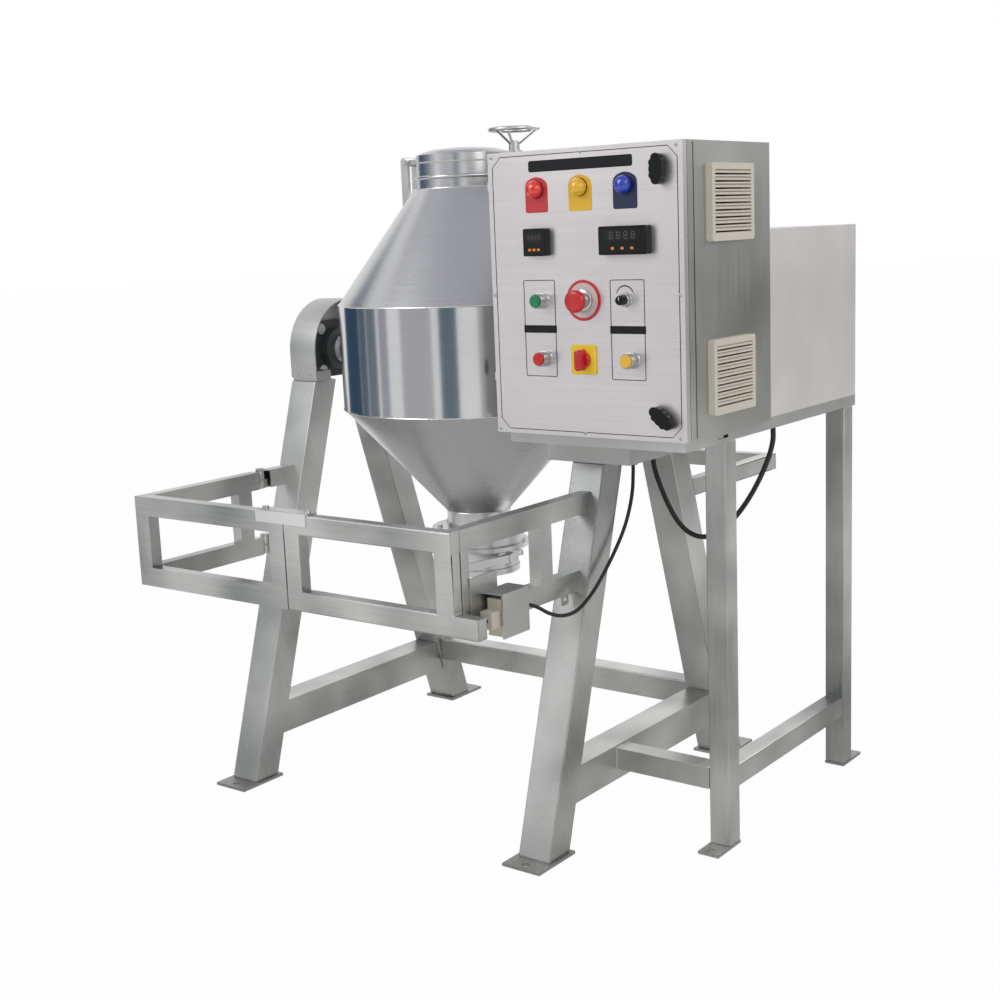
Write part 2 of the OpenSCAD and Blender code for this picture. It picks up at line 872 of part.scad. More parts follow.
// Dished lid with its hinge tongue and its clamp lug
module lid() {
    z1 = lid_z + lid_rim_h;
    in = collar_r - lid_rim_w;
    lug_z = z1 - lug_t;
    color("silver") difference() {
        union() {
            rotate_extrude() polygon([[0, z1 + dome_h], [0.35 * collar_r, z1 + 0.93 * dome_h],
                [0.66 * collar_r, z1 + 0.76 * dome_h], [0.86 * collar_r, z1 + 0.42 * dome_h], [collar_r, z1],
                [collar_r, lid_z], [in, lid_z], [in, z1 - lid_t], [0.66 * collar_r, z1 + 0.7 * dome_h - lid_t],
                [0.35 * collar_r, z1 + 0.9 * dome_h - lid_t], [0, z1 + dome_h - lid_t]]);
            translate([-hinge_x, -ear_in + seat_gap, hinge_z - ear_r / 2])
                cube([hinge_x - in - lid_t, 2 * (ear_in - seat_gap), ear_r]);
            rod_y([-hinge_x, -ear_in + seat_gap, hinge_z], ear_r, 2 * (ear_in - seat_gap));
            translate([in + lid_t, -lug_w / 2, lug_z]) cube([clamp_x - in - lid_t, lug_w, lug_t]);
            translate([clamp_x, 0, lug_z]) cylinder(r = lug_w / 2, h = lug_t);
        }
        rod_y([-hinge_x, -lug_w, hinge_z], hinge_pin_r + run_gap, 2 * lug_w);
        translate([clamp_x, 0, lug_z - over]) cylinder(r = screw_r + run_gap, h = lug_t + 2 * over);
    }
}

module lid_gasket() {
    color("white") translate([0, 0, rim_z + seat_gap]) difference() {
        cylinder(r = collar_r, h = gasket_t);
        translate([0, 0, -over]) cylinder(r = collar_r - lid_rim_w + lid_t, h = gasket_t + 2 * over);
    }
}

module clamp_washer() {
    color("lightgray") translate([clamp_x, 0, lid_z + lid_rim_h + seat_gap]) difference() {
        cylinder(r = washer_r, h = washer_t);
        translate([0, 0, -over]) cylinder(r = screw_r + run_gap, h = washer_t + 2 * over);
    }
}

// Screw with a dog point and a dished handwheel
module clamp_wheel() {
    hub_z = lid_z + lid_rim_h + washer_t + 2 * seat_gap;
    rise = rim_rise - hub_h / 2;
    run = wheel_r - rim_wire_r - hub_r / 2;
    color("silver") translate([clamp_x, 0, 0]) {
        translate([0, 0, clamp_lug_z - 2 * over]) cylinder(r = tip_r, h = clamp_lug_t + 4 * over);
        translate([0, 0, clamp_lug_z + clamp_lug_t + 2 * over])
            cylinder(r = screw_r, h = hub_z + hub_h - clamp_lug_z - clamp_lug_t);
        translate([0, 0, hub_z]) cylinder(r = hub_r, h = hub_h);
        translate([0, 0, hub_z + rim_rise]) rotate_extrude() translate([wheel_r - rim_wire_r, 0]) circle(rim_wire_r);
        for (i = [0:spokes - 1]) rotate(20 + i * 360 / spokes) translate([hub_r / 2, 0, hub_z + hub_h / 2])
            rotate([0, atan2(run, rise), 0]) cylinder(r = spoke_r, h = norm([run, rise]));
    }
}

// Worm gearbox with its worm above the output shaft, and the base it stands on
module gearbox() {
    color("steelblue") difference() {
        union() {
            translate([gear_x, -gear_d / 2, axis_h - gear_h / 2]) cube([gear_w, gear_d, gear_h]);
            rod_y([gear_x + gear_w / 2, -gear_d / 2 - housing_t / 2, axis_h + worm_rise], worm_r, gear_d + housing_t);
            rod_x([gear_x - housing_t / 2, 0, axis_h], housing_boss_r, housing_t);
            translate([gear_x - fin_h, -gear_d / 2, floor_z])
                cube([gear_w + 2 * fin_h, gear_d, axis_h - gear_h / 2 - floor_z]);
        }
        rod_x([gear_x - housing_t, 0, axis_h], gear_shaft_r + run_gap, housing_t + gear_w / 2 + 2 * over);
    }
}

// Finned motor on the gearbox's worm flange
module drive_motor() {
    y0 = gear_d / 2 + housing_t / 2;
    color("steelblue") translate([gear_x + gear_w / 2, y0, axis_h + worm_rise]) {
        rod_y([0, 0, 0], motor_r + fin_h, housing_t);
        rod_y([0, housing_t, 0], motor_r, motor_l);
        for (i = [0:motor_fins - 1]) rotate([0, i * 360 / motor_fins, 0])
            translate([-fin_t / 2, housing_t, motor_r - fin_h]) cube([fin_t, motor_l - housing_t, 2 * fin_h]);
        rod_y([0, motor_l + housing_t, 0], motor_r + fin_h, cowl_l);
        translate([-motor_r, 2 * housing_t, -axis_h - worm_rise + floor_z])
            cube([2 * motor_r, motor_l / 2, motor_foot_h]);
        translate([-fin_h, 2 * housing_t, -axis_h - worm_rise + floor_z + motor_foot_h])
            cube([2 * fin_h, motor_l / 2, axis_h + worm_rise - floor_z - motor_foot_h - motor_r + fin_t]);
    }
}

// Folded casing over the motor, open to the tray below and the cabinet in front
module drive_casing() {
    y0 = cabinet_back + seat_gap;
    w = casing_x1 - casing_x0;
    d = casing_y1 - y0;
    color("silver") difference() {
        translate([casing_x0, y0, floor_z]) cube([w, d, casing_h]);
        translate([casing_x0 + sheet_t, y0 - over, floor_z - over])
            cube([w - 2 * sheet_t, d - sheet_t + over, casing_h - sheet_t + over]);
        rod_x([casing_x0 - over, 0, axis_h], shaft_hole_r, sheet_t + 2 * over);
    }
}

// Space kept free in the cabinet's lower rear for the shaft and the gearbox
module drive_notch(grow) {
    translate([cabinet_x - over, notch_y - grow, cabinet_z - over])
        cube([notch_x + grow - cabinet_x + over, cabinet_back - notch_y + grow + over, notch_z + grow - cabinet_z + over]);
}

module hinge_knuckle(z, l) {
    translate([knuckle_x, body_y, z]) cylinder(r = knuckle_r, h = l);
}

module cabinet_body() {
    d = cabinet_back - body_y;
    color("silver") {
        difference() {
            translate([cabinet_x, body_y, cabinet_z]) cube([cabinet_w, d, cabinet_h]);
            difference() {
                translate([cabinet_x + sheet_t, body_y + sheet_t, cabinet_z + sheet_t])
                    cube([cabinet_w - 2 * sheet_t, d - 2 * sheet_t, cabinet_h - 2 * sheet_t]);
                drive_notch(sheet_t);
            }
            drive_notch(0);
            translate([cabinet_x + lip_w, body_y - over, cabinet_z + lip_w])
                cube([cabinet_w - 2 * lip_w, sheet_t + 2 * over, cabinet_h - 2 * lip_w]);
            for (z = grille_zs) translate([cabinet_x + cabinet_w - sheet_t - over, grille_y - vent_hole / 2, z - vent_hole / 2])
                cube([sheet_t + 2 * over, vent_hole, vent_hole]);
        }
        difference() {
            translate([cabinet_x, notch_y, cabinet_z]) cube([sheet_t, cabinet_back - notch_y, notch_z - cabinet_z]);
            rod_x([cabinet_x - over, 0, axis_h], shaft_hole_r, sheet_t + 2 * over);
        }
        for (s = hinge_zs_share) {
            z = cabinet_z + s * cabinet_h;
            hinge_knuckle(z, knuckle_h / 2 - seat_gap);
            translate([knuckle_x, body_y, z]) cylinder(r = knuckle_pin_r, h = knuckle_h);
            translate([cabinet_x - sheet_t, body_y, z]) cube([sheet_t, 2 * knuckle_r, knuckle_h / 2 - seat_gap]);
        }
    }
}

// Position of a device on the door, turned so that its local +Z points out of the door
module on_door(at, y = cabinet_y) {
    translate([cabinet_x + at[0], y, cabinet_z + at[1]]) rotate([90, 0, 0]) children();
}

module device_hole(at, r = device_hole_r) {
    on_door(at, cabinet_y + sheet_t + over) cylinder(r = r, h = sheet_t + 2 * over);
}

module device_window(at, w, h) {
    on_door(at, cabinet_y + sheet_t + over) translate([-w / 2, -h / 2, 0]) cube([w, h, sheet_t + 2 * over]);
}

module cabinet_door() {
    color("silver") {
        difference() {
            translate([cabinet_x, cabinet_y, cabinet_z]) cube([cabinet_w, door_d - door_gap, cabinet_h]);
            translate([cabinet_x + sheet_t, cabinet_y + sheet_t, cabinet_z + sheet_t])
                cube([cabinet_w - 2 * sheet_t, door_d, cabinet_h - 2 * sheet_t]);
            for (x = lamp_xs) device_hole([x, lamp_z]);
            for (at = [start_at, stop_at, inch_at, stop_ring_at, speed_at, mode_at]) device_hole(at);
            for (z = knob_zs) device_hole([knob_x, z], knob_stem_r + run_gap);
            device_window(timer_at, timer_side - frame_edge / 2, timer_side - frame_edge / 2);
            device_window(meter_at, meter_w - frame_edge / 2, timer_side - frame_edge / 2);
        }
        for (s = hinge_zs_share) {
            z = cabinet_z + s * cabinet_h + knuckle_h / 2;
            difference() {
                union() {
                    hinge_knuckle(z, knuckle_h / 2);
                    translate([cabinet_x - sheet_t, cabinet_y, z]) cube([sheet_t, door_d - door_gap, knuckle_h / 2]);
                }
                translate([knuckle_x, body_y, z - over]) cylinder(r = knuckle_pin_r + run_gap, h = knuckle_h);
            }
        }
    }
}

module door_gasket() {
    in = lip_w / 3;
    w = lip_w / 2;
    color("dimgray") difference() {
        translate([cabinet_x + in, cabinet_y + sheet_t, cabinet_z + in])
            cube([cabinet_w - 2 * in, door_d - sheet_t - seat_gap, cabinet_h - 2 * in]);
        translate([cabinet_x + in + w, cabinet_y, cabinet_z + in + w])
            cube([cabinet_w - 2 * in - 2 * w, door_d + over, cabinet_h - 2 * in - 2 * w]);
    }
}

// Mounting plate inside the cabinet with its inverter, contactors and terminals
module component_plate() {
    z0 = cabinet_z + comp_z_in;
    h = cabinet_h - 2 * comp_z_in;
    w = comp_x1 - comp_x0;
    step = contactor[0] + frame_edge;
    color("tan") {
        translate([comp_x0, comp_y, z0]) cube([w, comp_t, h]);
        for (x = [comp_x0 + frame_edge, comp_x1 - frame_edge]) {
            rod_y([x, comp_y + comp_t, z0 + frame_edge], stud_r, notch_y - sheet_t - comp_y - comp_t);
            rod_y([x, comp_y + comp_t, z0 + h - frame_edge], stud_r, cabinet_back - sheet_t - comp_y - comp_t);
        }
        translate([comp_x1 - inverter[0] - frame_edge, comp_y - inverter[1], z0 + h - inverter[2] - frame_edge])
            cube(inverter);
        for (i = [0:2]) translate([comp_x0 + frame_edge + i * step, comp_y - contactor[1], z0 + h / 2])
            cube(contactor);
        translate([comp_x0 + frame_edge, comp_y - terminal[1], z0 + 2 * frame_edge]) cube(terminal);
    }
}

module vent_fan() {
    x0 = cabinet_x + cabinet_w - fan_frame_d + louvre_t;
    color("dimgray") translate([x0, grille_y, grille_zs[0]]) difference() {
        union() {
            rod_x([0, 0, 0], fan_hub_r, fan_d);
            for (i = [0:fan_blades - 1]) rotate([i * 360 / fan_blades, 0, 0]) translate([fan_d / 2, 0, 0])
                rotate([0, 0, blade_pitch]) translate([-fan_d / 2 + blade_t, -blade_t / 2, fan_hub_r - blade_t])
                    cube([fan_d - 2 * blade_t, blade_t, fan_r - fan_hub_r]);
        }
        rod_x([-over, 0, 0], fan_pin_r + run_gap, fan_d + 2 * over);
    }
}

// Louvred vent grille with the square duct that passes through the cabinet's wall
module grille() {
    pitch = (grille_h - 2 * frame_edge) / louvres;
    duct = vent_hole - 2 * seat_gap;
    difference() {
        union() {
            along_x(0, grille_out) rounded(grille_w, grille_h, frame_edge / 2);
            translate([-fan_frame_d, -duct / 2, -duct / 2]) cube([fan_frame_d, duct, duct]);
        }
        translate([-fan_frame_d - over, -duct / 2 + louvre_t, -duct / 2 + louvre_t])
            cube([fan_frame_d + louvre_t + over, duct - 2 * louvre_t, duct - 2 * louvre_t]);
        for (i = [0:louvres - 1]) translate([0, -grille_w / 2 + frame_edge, frame_edge - grille_h / 2 + i * pitch])
            rotate([90, 0, 90]) linear_extrude(grille_out + over) translate([0, louvre_t])
                square([grille_w - 2 * frame_edge, pitch - louvre_t]);
    }
    for (i = [1:louvres - 1]) translate([0, 0, frame_edge - grille_h / 2 + i * pitch])
        rotate([90, 0, 0]) translate([0, 0, -grille_w / 2 + frame_edge]) linear_extrude(grille_w - 2 * frame_edge)
            polygon([[louvre_t, 0], [grille_out, -pitch / 2], [grille_out, louvre_t - pitch / 2], [louvre_t, louvre_t]]);
}

module vent_grilles() {
    color("beige") {
        for (z = grille_zs) translate([cabinet_x + cabinet_w, grille_y, z]) grille();
        translate([cabinet_x + cabinet_w - fan_frame_d, grille_y, grille_zs[0]]) {
            rod_x([0, 0, 0], fan_pin_r, fan_frame_d + louvre_t);
            translate([0, -vent_hole / 2 + louvre_t, -fan_pin_r]) cube([louvre_t / 2, vent_hole - 2 * louvre_t, 2 * fan_pin_r]);
        }
    }
}

// Lobed lock knob with its stem and the cam behind the door
module door_knob(turn) {
    stem = sheet_t + door_d + seat_gap;
    cylinder(r = knob_neck_r, h = knob_neck_h);
    rotate(turn) translate([0, 0, knob_neck_h]) linear_extrude(knob_h - knob_neck_h) {
        circle(knob_r);
        for (end = [-1, 1]) translate([0, end * knob_end_at]) circle(knob_end_r);
        for (side = [-1, 1], end = [-1, 1])
            translate([side * knob_r / 2, end * knob_r * 0.8]) circle(knob_end_r * 0.75);
    }
    translate([0, 0, -stem - cam_t / 2 - seat_gap]) cylinder(r = knob_stem_r, h = stem + cam_t);
    translate([-cam_w / 2, -cam_w / 2, -stem - cam_t - seat_gap]) cube([cam_w, cam_l + cam_w / 2, cam_t]);
}

module upper_door_knob() {
    color("black") on_door([knob_x, knob_zs[1]], cabinet_y - seat_gap) rotate(180) door_knob(0);
}

module lower_door_knob() {
    color("black") on_door([knob_x, knob_zs[0]], cabinet_y - seat_gap)
        door_knob(lower_knob_turn);
}

module pilot_lamps() {
    for (i = [0:2]) color(["red", "gold", "blue"][i]) on_door([lamp_xs[i], lamp_z]) {
        cylinder(r = lamp_bezel_r, h = lamp_bezel_t);
        translate([0, 0, lamp_bezel_t]) cylinder(r = lamp_lens_r, h = lamp_lens_h - lamp_lens_r / 2);
        translate([0, 0, lamp_bezel_t + lamp_lens_h - lamp_lens_r / 2 - lamp_lens_r / 4]) intersection() {
            sphere(r = lamp_lens_r);
            translate([0, 0, lamp_lens_r / 4]) cylinder(r = lamp_lens_r, h = lamp_lens_r);
        }
        translate([0, 0, -body_l]) cylinder(r = body_r, h = body_l);
    }
}

module meter(w, out) {
    in = frame_edge / 2 + seat_gap;
    translate([-w / 2, -timer_side / 2, 0]) difference() {
        cube([w, timer_side, out]);
        translate([louvre_t, louvre_t, out - blade_t]) cube([w - 2 * louvre_t, timer_side - 2 * louvre_t, out]);
    }
    translate([-w / 2 + in / 2, -timer_side / 2 + in / 2, -meter_behind])
        cube([w - in, timer_side - in, meter_behind]);
}

module panel_meters() {
    color("dimgray") {
        on_door(timer_at) meter(timer_side, timer_out);
        on_door(meter_at) meter(meter_w, meter_out);
    }
}

// Collar and contact block of a push button, open for its cap
module bezel() {
    difference() {
        union() {
            cylinder(r = bezel_r, h = bezel_t);
            translate([0, 0, -body_l]) cylinder(r = body_r, h = body_l);
        }
        translate([0, 0, -cap_travel - 2 * over]) cylinder(r = cap_r + run_gap, h = body_l);
    }
}

module button_bezels() {
    color("lightgray") {
        for (at = [start_at, stop_at, inch_at]) on_door(at) bezel();
        on_door(stop_ring_at) difference() {
            union() {
                cylinder(r = stop_ring_r, h = stop_ring_t);
                cylinder(r = stop_neck_r + louvre_t, h = stop_neck_h - cap_travel - seat_gap);
                translate([0, 0, -body_l]) cylinder(r = body_r, h = body_l);
            }
            translate([0, 0, -cap_travel - over]) cylinder(r = body_r - over, h = body_l);
        }
        on_door(speed_at) difference() {
            union() {
                cylinder(r = speed_base_r, h = speed_base_t);
                translate([0, 0, -body_l / 2]) cylinder(r = body_r, h = body_l / 2);
            }
            translate([0, 0, -body_l / 4]) cylinder(r = stem_r / 2 + run_gap, h = body_l);
        }
        on_door(mode_at) difference() {
            union() {
                translate([-mode_plate / 2, -mode_plate / 2, 0]) cube([mode_plate, mode_plate, mode_plate_t]);
                translate([0, 0, -body_l]) cylinder(r = body_r, h = body_l);
            }
            translate([0, 0, -body_l / 4]) cylinder(r = stem_r + run_gap, h = body_l);
        }
    }
}

// Push button's cap, drawn out by its travel
module cap() {
    translate([0, 0, -over]) cylinder(r = cap_r, h = bezel_t + cap_out + over);
}

module start_button() {
    color("green") on_door(start_at) cap();
}

module stop_button() {
    color("red") on_door(stop_at) cap();
}

module inch_button() {
    color("gold") on_door(inch_at) cap();
}

module emergency_button() {
    color("red") on_door(stop_ring_at) {
        translate([0, 0, stop_neck_h]) cylinder(r = stop_head_r, h = stop_head_h / 2);
        translate([0, 0, stop_neck_h + stop_head_h / 2]) cylinder(r1 = stop_head_r, r2 = stop_head_r - stop_head_h / 2, h = stop_head_h / 2);
        cylinder(r = body_r - over - run_gap, h = stop_neck_h + over);
    }
}

module speed_knob() {
    color("black") on_door(speed_at) {
        translate([0, 0, speed_base_t + seat_gap]) cylinder(r1 = speed_r + over, r2 = speed_r, h = speed_h);
        translate([0, 0, -body_l / 4 + over]) cylinder(r = stem_r / 2, h = body_l / 4 + speed_base_t);
    }
}

module mode_switch() {
    z0 = mode_plate_t + seat_gap;
    color("red") on_door(mode_at) {
        translate([0, 0, z0]) cylinder(r = mode_r, h = mode_base_t);
        translate([-mode_grip_t / 2, -mode_grip_l / 2, z0]) cube([mode_grip_t, mode_grip_l, mode_grip_h]);
        translate([0, 0, -body_l / 4 + over]) cylinder(r = stem_r, h = body_l / 4 + z0);
    }
}

// Front face of a front leg at height z, as the Y of a leaning cut
function leg_face(z) = -leg_y(z) - leg_d / 2;

// Side rail of the guard from y0 back to a leaning leg's face
module rail_to_leg(x, y0, z, h) {
    difference() {
        along_x(x, rail_t) polygon([[y0, z], [leg_face(z), z], [leg_face(z + h), z + h], [y0, z + h]]);
        along_x(x + tube_t, rail_t - 2 * tube_t) polygon([[y0 - over, z + tube_t],
            [leg_face(z + tube_t) + over, z + tube_t], [leg_face(z + h - tube_t) + over, z + h - tube_t],
            [y0 - over, z + h - tube_t]]);
    }
}

// Half of a rail's hinge: barrel and tongue, low or high in the rail
module hinge_half(z, tongue_y, tongue_l, high) {
    h = rail_h / 2 - seat_gap / 2;
    z0 = high ? z + rail_h - h : z;
    translate([-hinge_guard_x, gate_pin_y, z0]) difference() {
        union() {
            cylinder(r = gate_barrel_r, h = h);
            translate([-gate_tongue_t / 2, tongue_y, 0]) cube([gate_tongue_t, tongue_l, h]);
        }
        if (high) translate([0, 0, -over]) cylinder(r = gate_pin_r + run_gap, h = rail_h);
    }
}

// Swinging side frame, from the front corner to the hinge barrels
module gate_side_frame() {
    x = -guard_x;
    y0 = guard_y + rail_t;
    y1 = gate_pin_y - gate_ahead;
    color("silver") {
        for (z = [lower_rail_z, upper_rail_z]) {
            tube_y([x, y0, z], y1 - y0, rail_t, rail_h);
            hinge_half(z, -gate_ahead, gate_ahead, true);
        }
        tube_z([x, mid_post_y0, lower_rail_z + rail_h], upper_rail_z - lower_rail_z - rail_h, rail_t, mid_post_w);
    }
}

// One half of the guard's front: two rails and two posts
module front_frame(x0, x1, lower_x1) {
    z0 = lower_rail_z + rail_h;
    h = upper_rail_z - z0;
    tube_x([x0, guard_y, lower_rail_z], lower_x1 - x0, rail_t, rail_h);
    tube_x([x0, guard_y, upper_rail_z], x1 - x0, rail_t, rail_h);
    tube_z([x0, guard_y, z0], h, rail_h, rail_t);
    tube_z([x1 - rail_h, guard_y, z0], h, rail_h, rail_t);
}

module gate_front_left() {
    z1 = upper_rail_z + rail_h;
    color("silver") {
        front_frame(-guard_x, joint_x - joint_gap / 2, joint_x - joint_gap / 2);
        translate([joint_x - joint_plate_l / 2, guard_y, z1]) cube([joint_plate_l, rail_t, joint_plate_t]);
        for (s = [-0.42, 0.42]) translate([joint_x + s * joint_plate_l, guard_y + rail_t / 2, z1 + joint_plate_t])
            cylinder(r = end_bolt_r, h = joint_plate_t);
    }
}

module gate_front_right() {
    color("silver") front_frame(joint_x + joint_gap / 2, guard_x, corner_key_x);
}

// Fixed ends of the left side's rails, with the pins that the gate turns on
module guard_stubs() {
    y0 = gate_pin_y + gate_behind;
    color("silver") for (z = [lower_rail_z, upper_rail_z]) {
        rail_to_leg(-guard_x, y0, z, rail_h);
        hinge_half(z, 0, gate_behind, false);
        translate([-hinge_guard_x, gate_pin_y, z]) cylinder(r = gate_pin_r, h = rail_h + gate_pin_r);
        translate([-hinge_guard_x, gate_pin_y, z + rail_h + seat_gap]) cylinder(r = gate_barrel_r, h = gate_pin_r);
        rod_x([-guard_x - end_bolt_r, y0 + gate_ahead, z + rail_h / 2], end_bolt_r, end_bolt_r);
    }
}

module fixed_side_frame() {
    x = guard_x - rail_t;
    y0 = guard_y + rail_t + seat_gap;
    color("silver") {
        for (z = [lower_rail_z, upper_rail_z]) rail_to_leg(x, y0, z, rail_h);
        tube_z([x, y0, lower_rail_z + rail_h], upper_rail_z - lower_rail_z - rail_h, rail_t, post_in);
        tube_z([x, mid_post_y0, lower_rail_z + rail_h], upper_rail_z - lower_rail_z - rail_h, rail_t, mid_post_w);
        difference() {
            translate([guard_x - rail_t / 2, lug_y - lug_h / 2, lower_rail_z - lug_h]) cube([tube_t, lug_h, lug_h]);
            rod_x([guard_x - rail_t, lug_y, lower_rail_z - lug_h / 2], lug_hole_r, rail_t);
        }
    }
}

// U of single rail behind the vessel, between the rear legs
module rear_guard() {
    z = rear_rail_z;
    y1 = rear_guard_y - rail_t;
    color("silver") {
        for (side = [-1, 1]) scale([side, 1, 1])
            difference() {
                along_x(rear_outer_x - rail_t, rail_t) polygon([[-leg_face(z), z], [y1, z],
                    [y1, z + rear_rail_h], [-leg_face(z + rear_rail_h), z + rear_rail_h]]);
                along_x(rear_outer_x - rail_t + tube_t, rail_t - 2 * tube_t)
                    polygon([[-leg_face(z) - over, z + tube_t], [y1 + over, z + tube_t],
                        [y1 + over, z + rear_rail_h - tube_t], [-leg_face(z + rear_rail_h) - over, z + rear_rail_h - tube_t]]);
            }
        tube_x([-rear_outer_x, y1, z], 2 * rear_outer_x, rail_t, rear_rail_h);
    }
}

// Bent bracket that shields the limit switch
module switch_bracket() {
    t = bracket_t;
    w = bracket_x1 - bracket_x0;
    l = bracket_y1 - bracket_y0;
    h = bracket_z1 - bracket_z0;
    color("gray") difference() {
        union() {
            translate([bracket_x0, tab_y0, bracket_z1 - h / 2]) cube([t, bracket_y1 - tab_y0, h / 2]);
            translate([bracket_x0, tab_y0, bracket_z1]) cube([t, l, tab_z1 - bracket_z1]);
            translate([bracket_x0, bracket_y0, bracket_z1 - t]) cube([w, l, t]);
            translate([bracket_x1 - t, bracket_y0, bracket_z0]) cube([t, l, h]);
            translate([bracket_x0, bracket_y1 - t, bracket_z0]) cube([w, t, h]);
        }
        rod_y([switch_route[0][0], bracket_y1 - 2 * t, switch_route[0][2]], gland_r / 2, 3 * t);
    }
}

module limit_switch() {
    x0 = bracket_x1 - bracket_t - seat_gap - switch_w;
    y1 = bracket_y1 - bracket_t - seat_gap;
    y0 = bracket_y0 + bracket_t;
    mid = x0 + switch_w / 2;
    color("beige") difference() {
        union() {
            translate([x0, y0, bracket_z0 + bracket_t]) cube([switch_w, y1 - y0, switch_h]);
            translate([mid - turret_w / 2, y0 - turret_d, plunger_z - turret_h / 2]) cube([turret_w, turret_d, turret_h]);
        }
        rod_y([mid, y0 - turret_d - over, plunger_z], plunger_r + run_gap, turret_d + over);
    }
}

module switch_plunger() {
    mid = bracket_x1 - bracket_t - seat_gap - switch_w / 2;
    y0 = guard_y + rail_t + seat_gap;
    y1 = bracket_y0 + bracket_t - plunger_travel - over;
    color("black") {
        rod_y([mid, y0, plunger_z], plunger_r, y1 - y0);
        rod_y([mid, y0, plunger_z], plunger_r + over, 2 * over);
    }
}

// Cable gland at a point, with its dome nut pointing along local +Z
module gland() {
    cylinder(r = gland_hex_r, h = gland_h / 2, $fn = 6);
    cylinder(r = gland_r, h = gland_h);
}

module cable_glands() {
    color("black") {
        translate([switch_route[0][0], bracket_y1, switch_route[0][2]]) rotate([-90, 0, 0]) gland();
        translate([switch_route[14][0], switch_route[14][1], head_z]) mirror([0, 0, 1]) gland();
        translate([drive_route[0][0], drive_route[0][1], head_z]) mirror([0, 0, 1]) gland();
        translate([drive_route[17][0], drive_route[17][1], floor_z - tube_t]) mirror([0, 0, 1]) gland();
    }
}

// Direction of a route at point i, and the two unit vectors across it
function heading(p, i) = let (d = p[min(i + 1, len(p) - 1)] - p[max(i - 1, 0)]) d / norm(d);
function across(t) = let (s = cross(t, [0.6, 0.8, 0])) s / norm(s);
function ring(p, i, r, n) = let (t = heading(p, i), u = across(t), v = cross(t, u))
    [for (k = [0:n - 1]) p[i] + r * (cos(360 * k / n) * u + sin(360 * k / n) * v)];

// Round cable swept along a route with n sides
module sweep(p, r, n = 10) {
    m = len(p);
    points = [for (i = [0:m - 1]) each ring(p, i, r, n)];
    sides = [for (i = [0:m - 2], k = [0:n - 1]) each [
        [i * n + k, i * n + (k + 1) % n, (i + 1) * n + k],
        [i * n + (k + 1) % n, (i + 1) * n + (k + 1) % n, (i + 1) * n + k]]];
    ends = [[for (k = [0:n - 1]) n - 1 - k], [for (k = [0:n - 1]) (m - 1) * n + k]];
    polyhedron(points, concat(sides, ends));
}

module switch_cable() {
    color("black") sweep(switch_route, switch_cable_r);
}

module drive_cable() {
    color("black") sweep(drive_route, drive_cable_r);
}

idle_front_leg();
idle_rear_leg();
drive_front_leg();
drive_rear_leg();
frame_beams();
foot_plates();
stand_legs();
base_tray();
head_box();
bearing_seats();
bearing_housings();
bearing_bolts();
idle_bearing_cover();
trunnion_shafts();
bearing_rings();
vessel_shell();
outlet_spool();
valve_body();
outlet_clamp();
vessel_lugs();
lid_hinge_pin();
shaft_coupling();
lid();
lid_gasket();
clamp_washer();
clamp_wheel();
valve_disc();
valve_lever();
gearbox();
drive_motor();
drive_casing();
cabinet_body();
cabinet_door();
door_gasket();
component_plate();
vent_fan();
vent_grilles();
upper_door_knob();
lower_door_knob();
pilot_lamps();
panel_meters();
button_bezels();
start_button();
stop_button();
inch_button();
emergency_button();
speed_knob();
mode_switch();
gate_side_frame();
gate_front_left();
gate_front_right();
guard_stubs();
fixed_side_frame();
rear_guard();
switch_bracket();
limit_switch();
switch_plunger();
cable_glands();
switch_cable();
drive_cable();
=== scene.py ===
import math

import bpy
import numpy as np
from mathutils import Matrix, Vector


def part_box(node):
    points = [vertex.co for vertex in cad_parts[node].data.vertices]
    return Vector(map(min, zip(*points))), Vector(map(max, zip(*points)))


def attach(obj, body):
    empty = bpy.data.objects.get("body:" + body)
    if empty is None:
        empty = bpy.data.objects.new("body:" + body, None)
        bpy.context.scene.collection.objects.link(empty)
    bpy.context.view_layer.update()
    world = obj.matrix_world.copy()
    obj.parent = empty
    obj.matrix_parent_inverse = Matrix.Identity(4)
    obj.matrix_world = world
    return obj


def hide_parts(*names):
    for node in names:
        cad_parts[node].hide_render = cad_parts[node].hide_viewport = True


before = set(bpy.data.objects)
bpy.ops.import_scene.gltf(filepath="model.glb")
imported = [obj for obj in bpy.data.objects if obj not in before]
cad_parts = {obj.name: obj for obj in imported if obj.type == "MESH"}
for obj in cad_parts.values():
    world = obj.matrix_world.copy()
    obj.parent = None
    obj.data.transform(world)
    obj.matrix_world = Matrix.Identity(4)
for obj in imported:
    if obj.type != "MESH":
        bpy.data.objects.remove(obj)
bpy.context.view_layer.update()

# The photographer's place: a little above the panel, to the right of the front,
# with the camera held slightly out of level.
YAW, PITCH, ROLL = math.radians(37.50), math.radians(10.52), math.radians(-2.329)
EYE = (1.9336, -2.4445, 1.1710)
LENS_MM, SENSOR_MM = 53.10, 36
forward = Vector((-math.sin(YAW) * math.cos(PITCH), math.cos(YAW) * math.cos(PITCH), -math.sin(PITCH)))
level = Vector((math.cos(YAW), math.sin(YAW), 0))
upward = level.cross(forward)
right = level * math.cos(ROLL) + upward * math.sin(ROLL)
top = upward * math.cos(ROLL) - level * math.sin(ROLL)
lens = bpy.data.cameras.new("camera")
lens.lens, lens.sensor_width = LENS_MM, SENSOR_MM
camera = bpy.data.objects.new("camera", lens)
camera.matrix_world = Matrix.Translation(EYE) @ Matrix((right, top, -forward)).transposed().to_4x4()
bpy.context.collection.objects.link(camera)
bpy.context.scene.camera = camera
bpy.context.scene.view_settings.view_transform = "Standard"


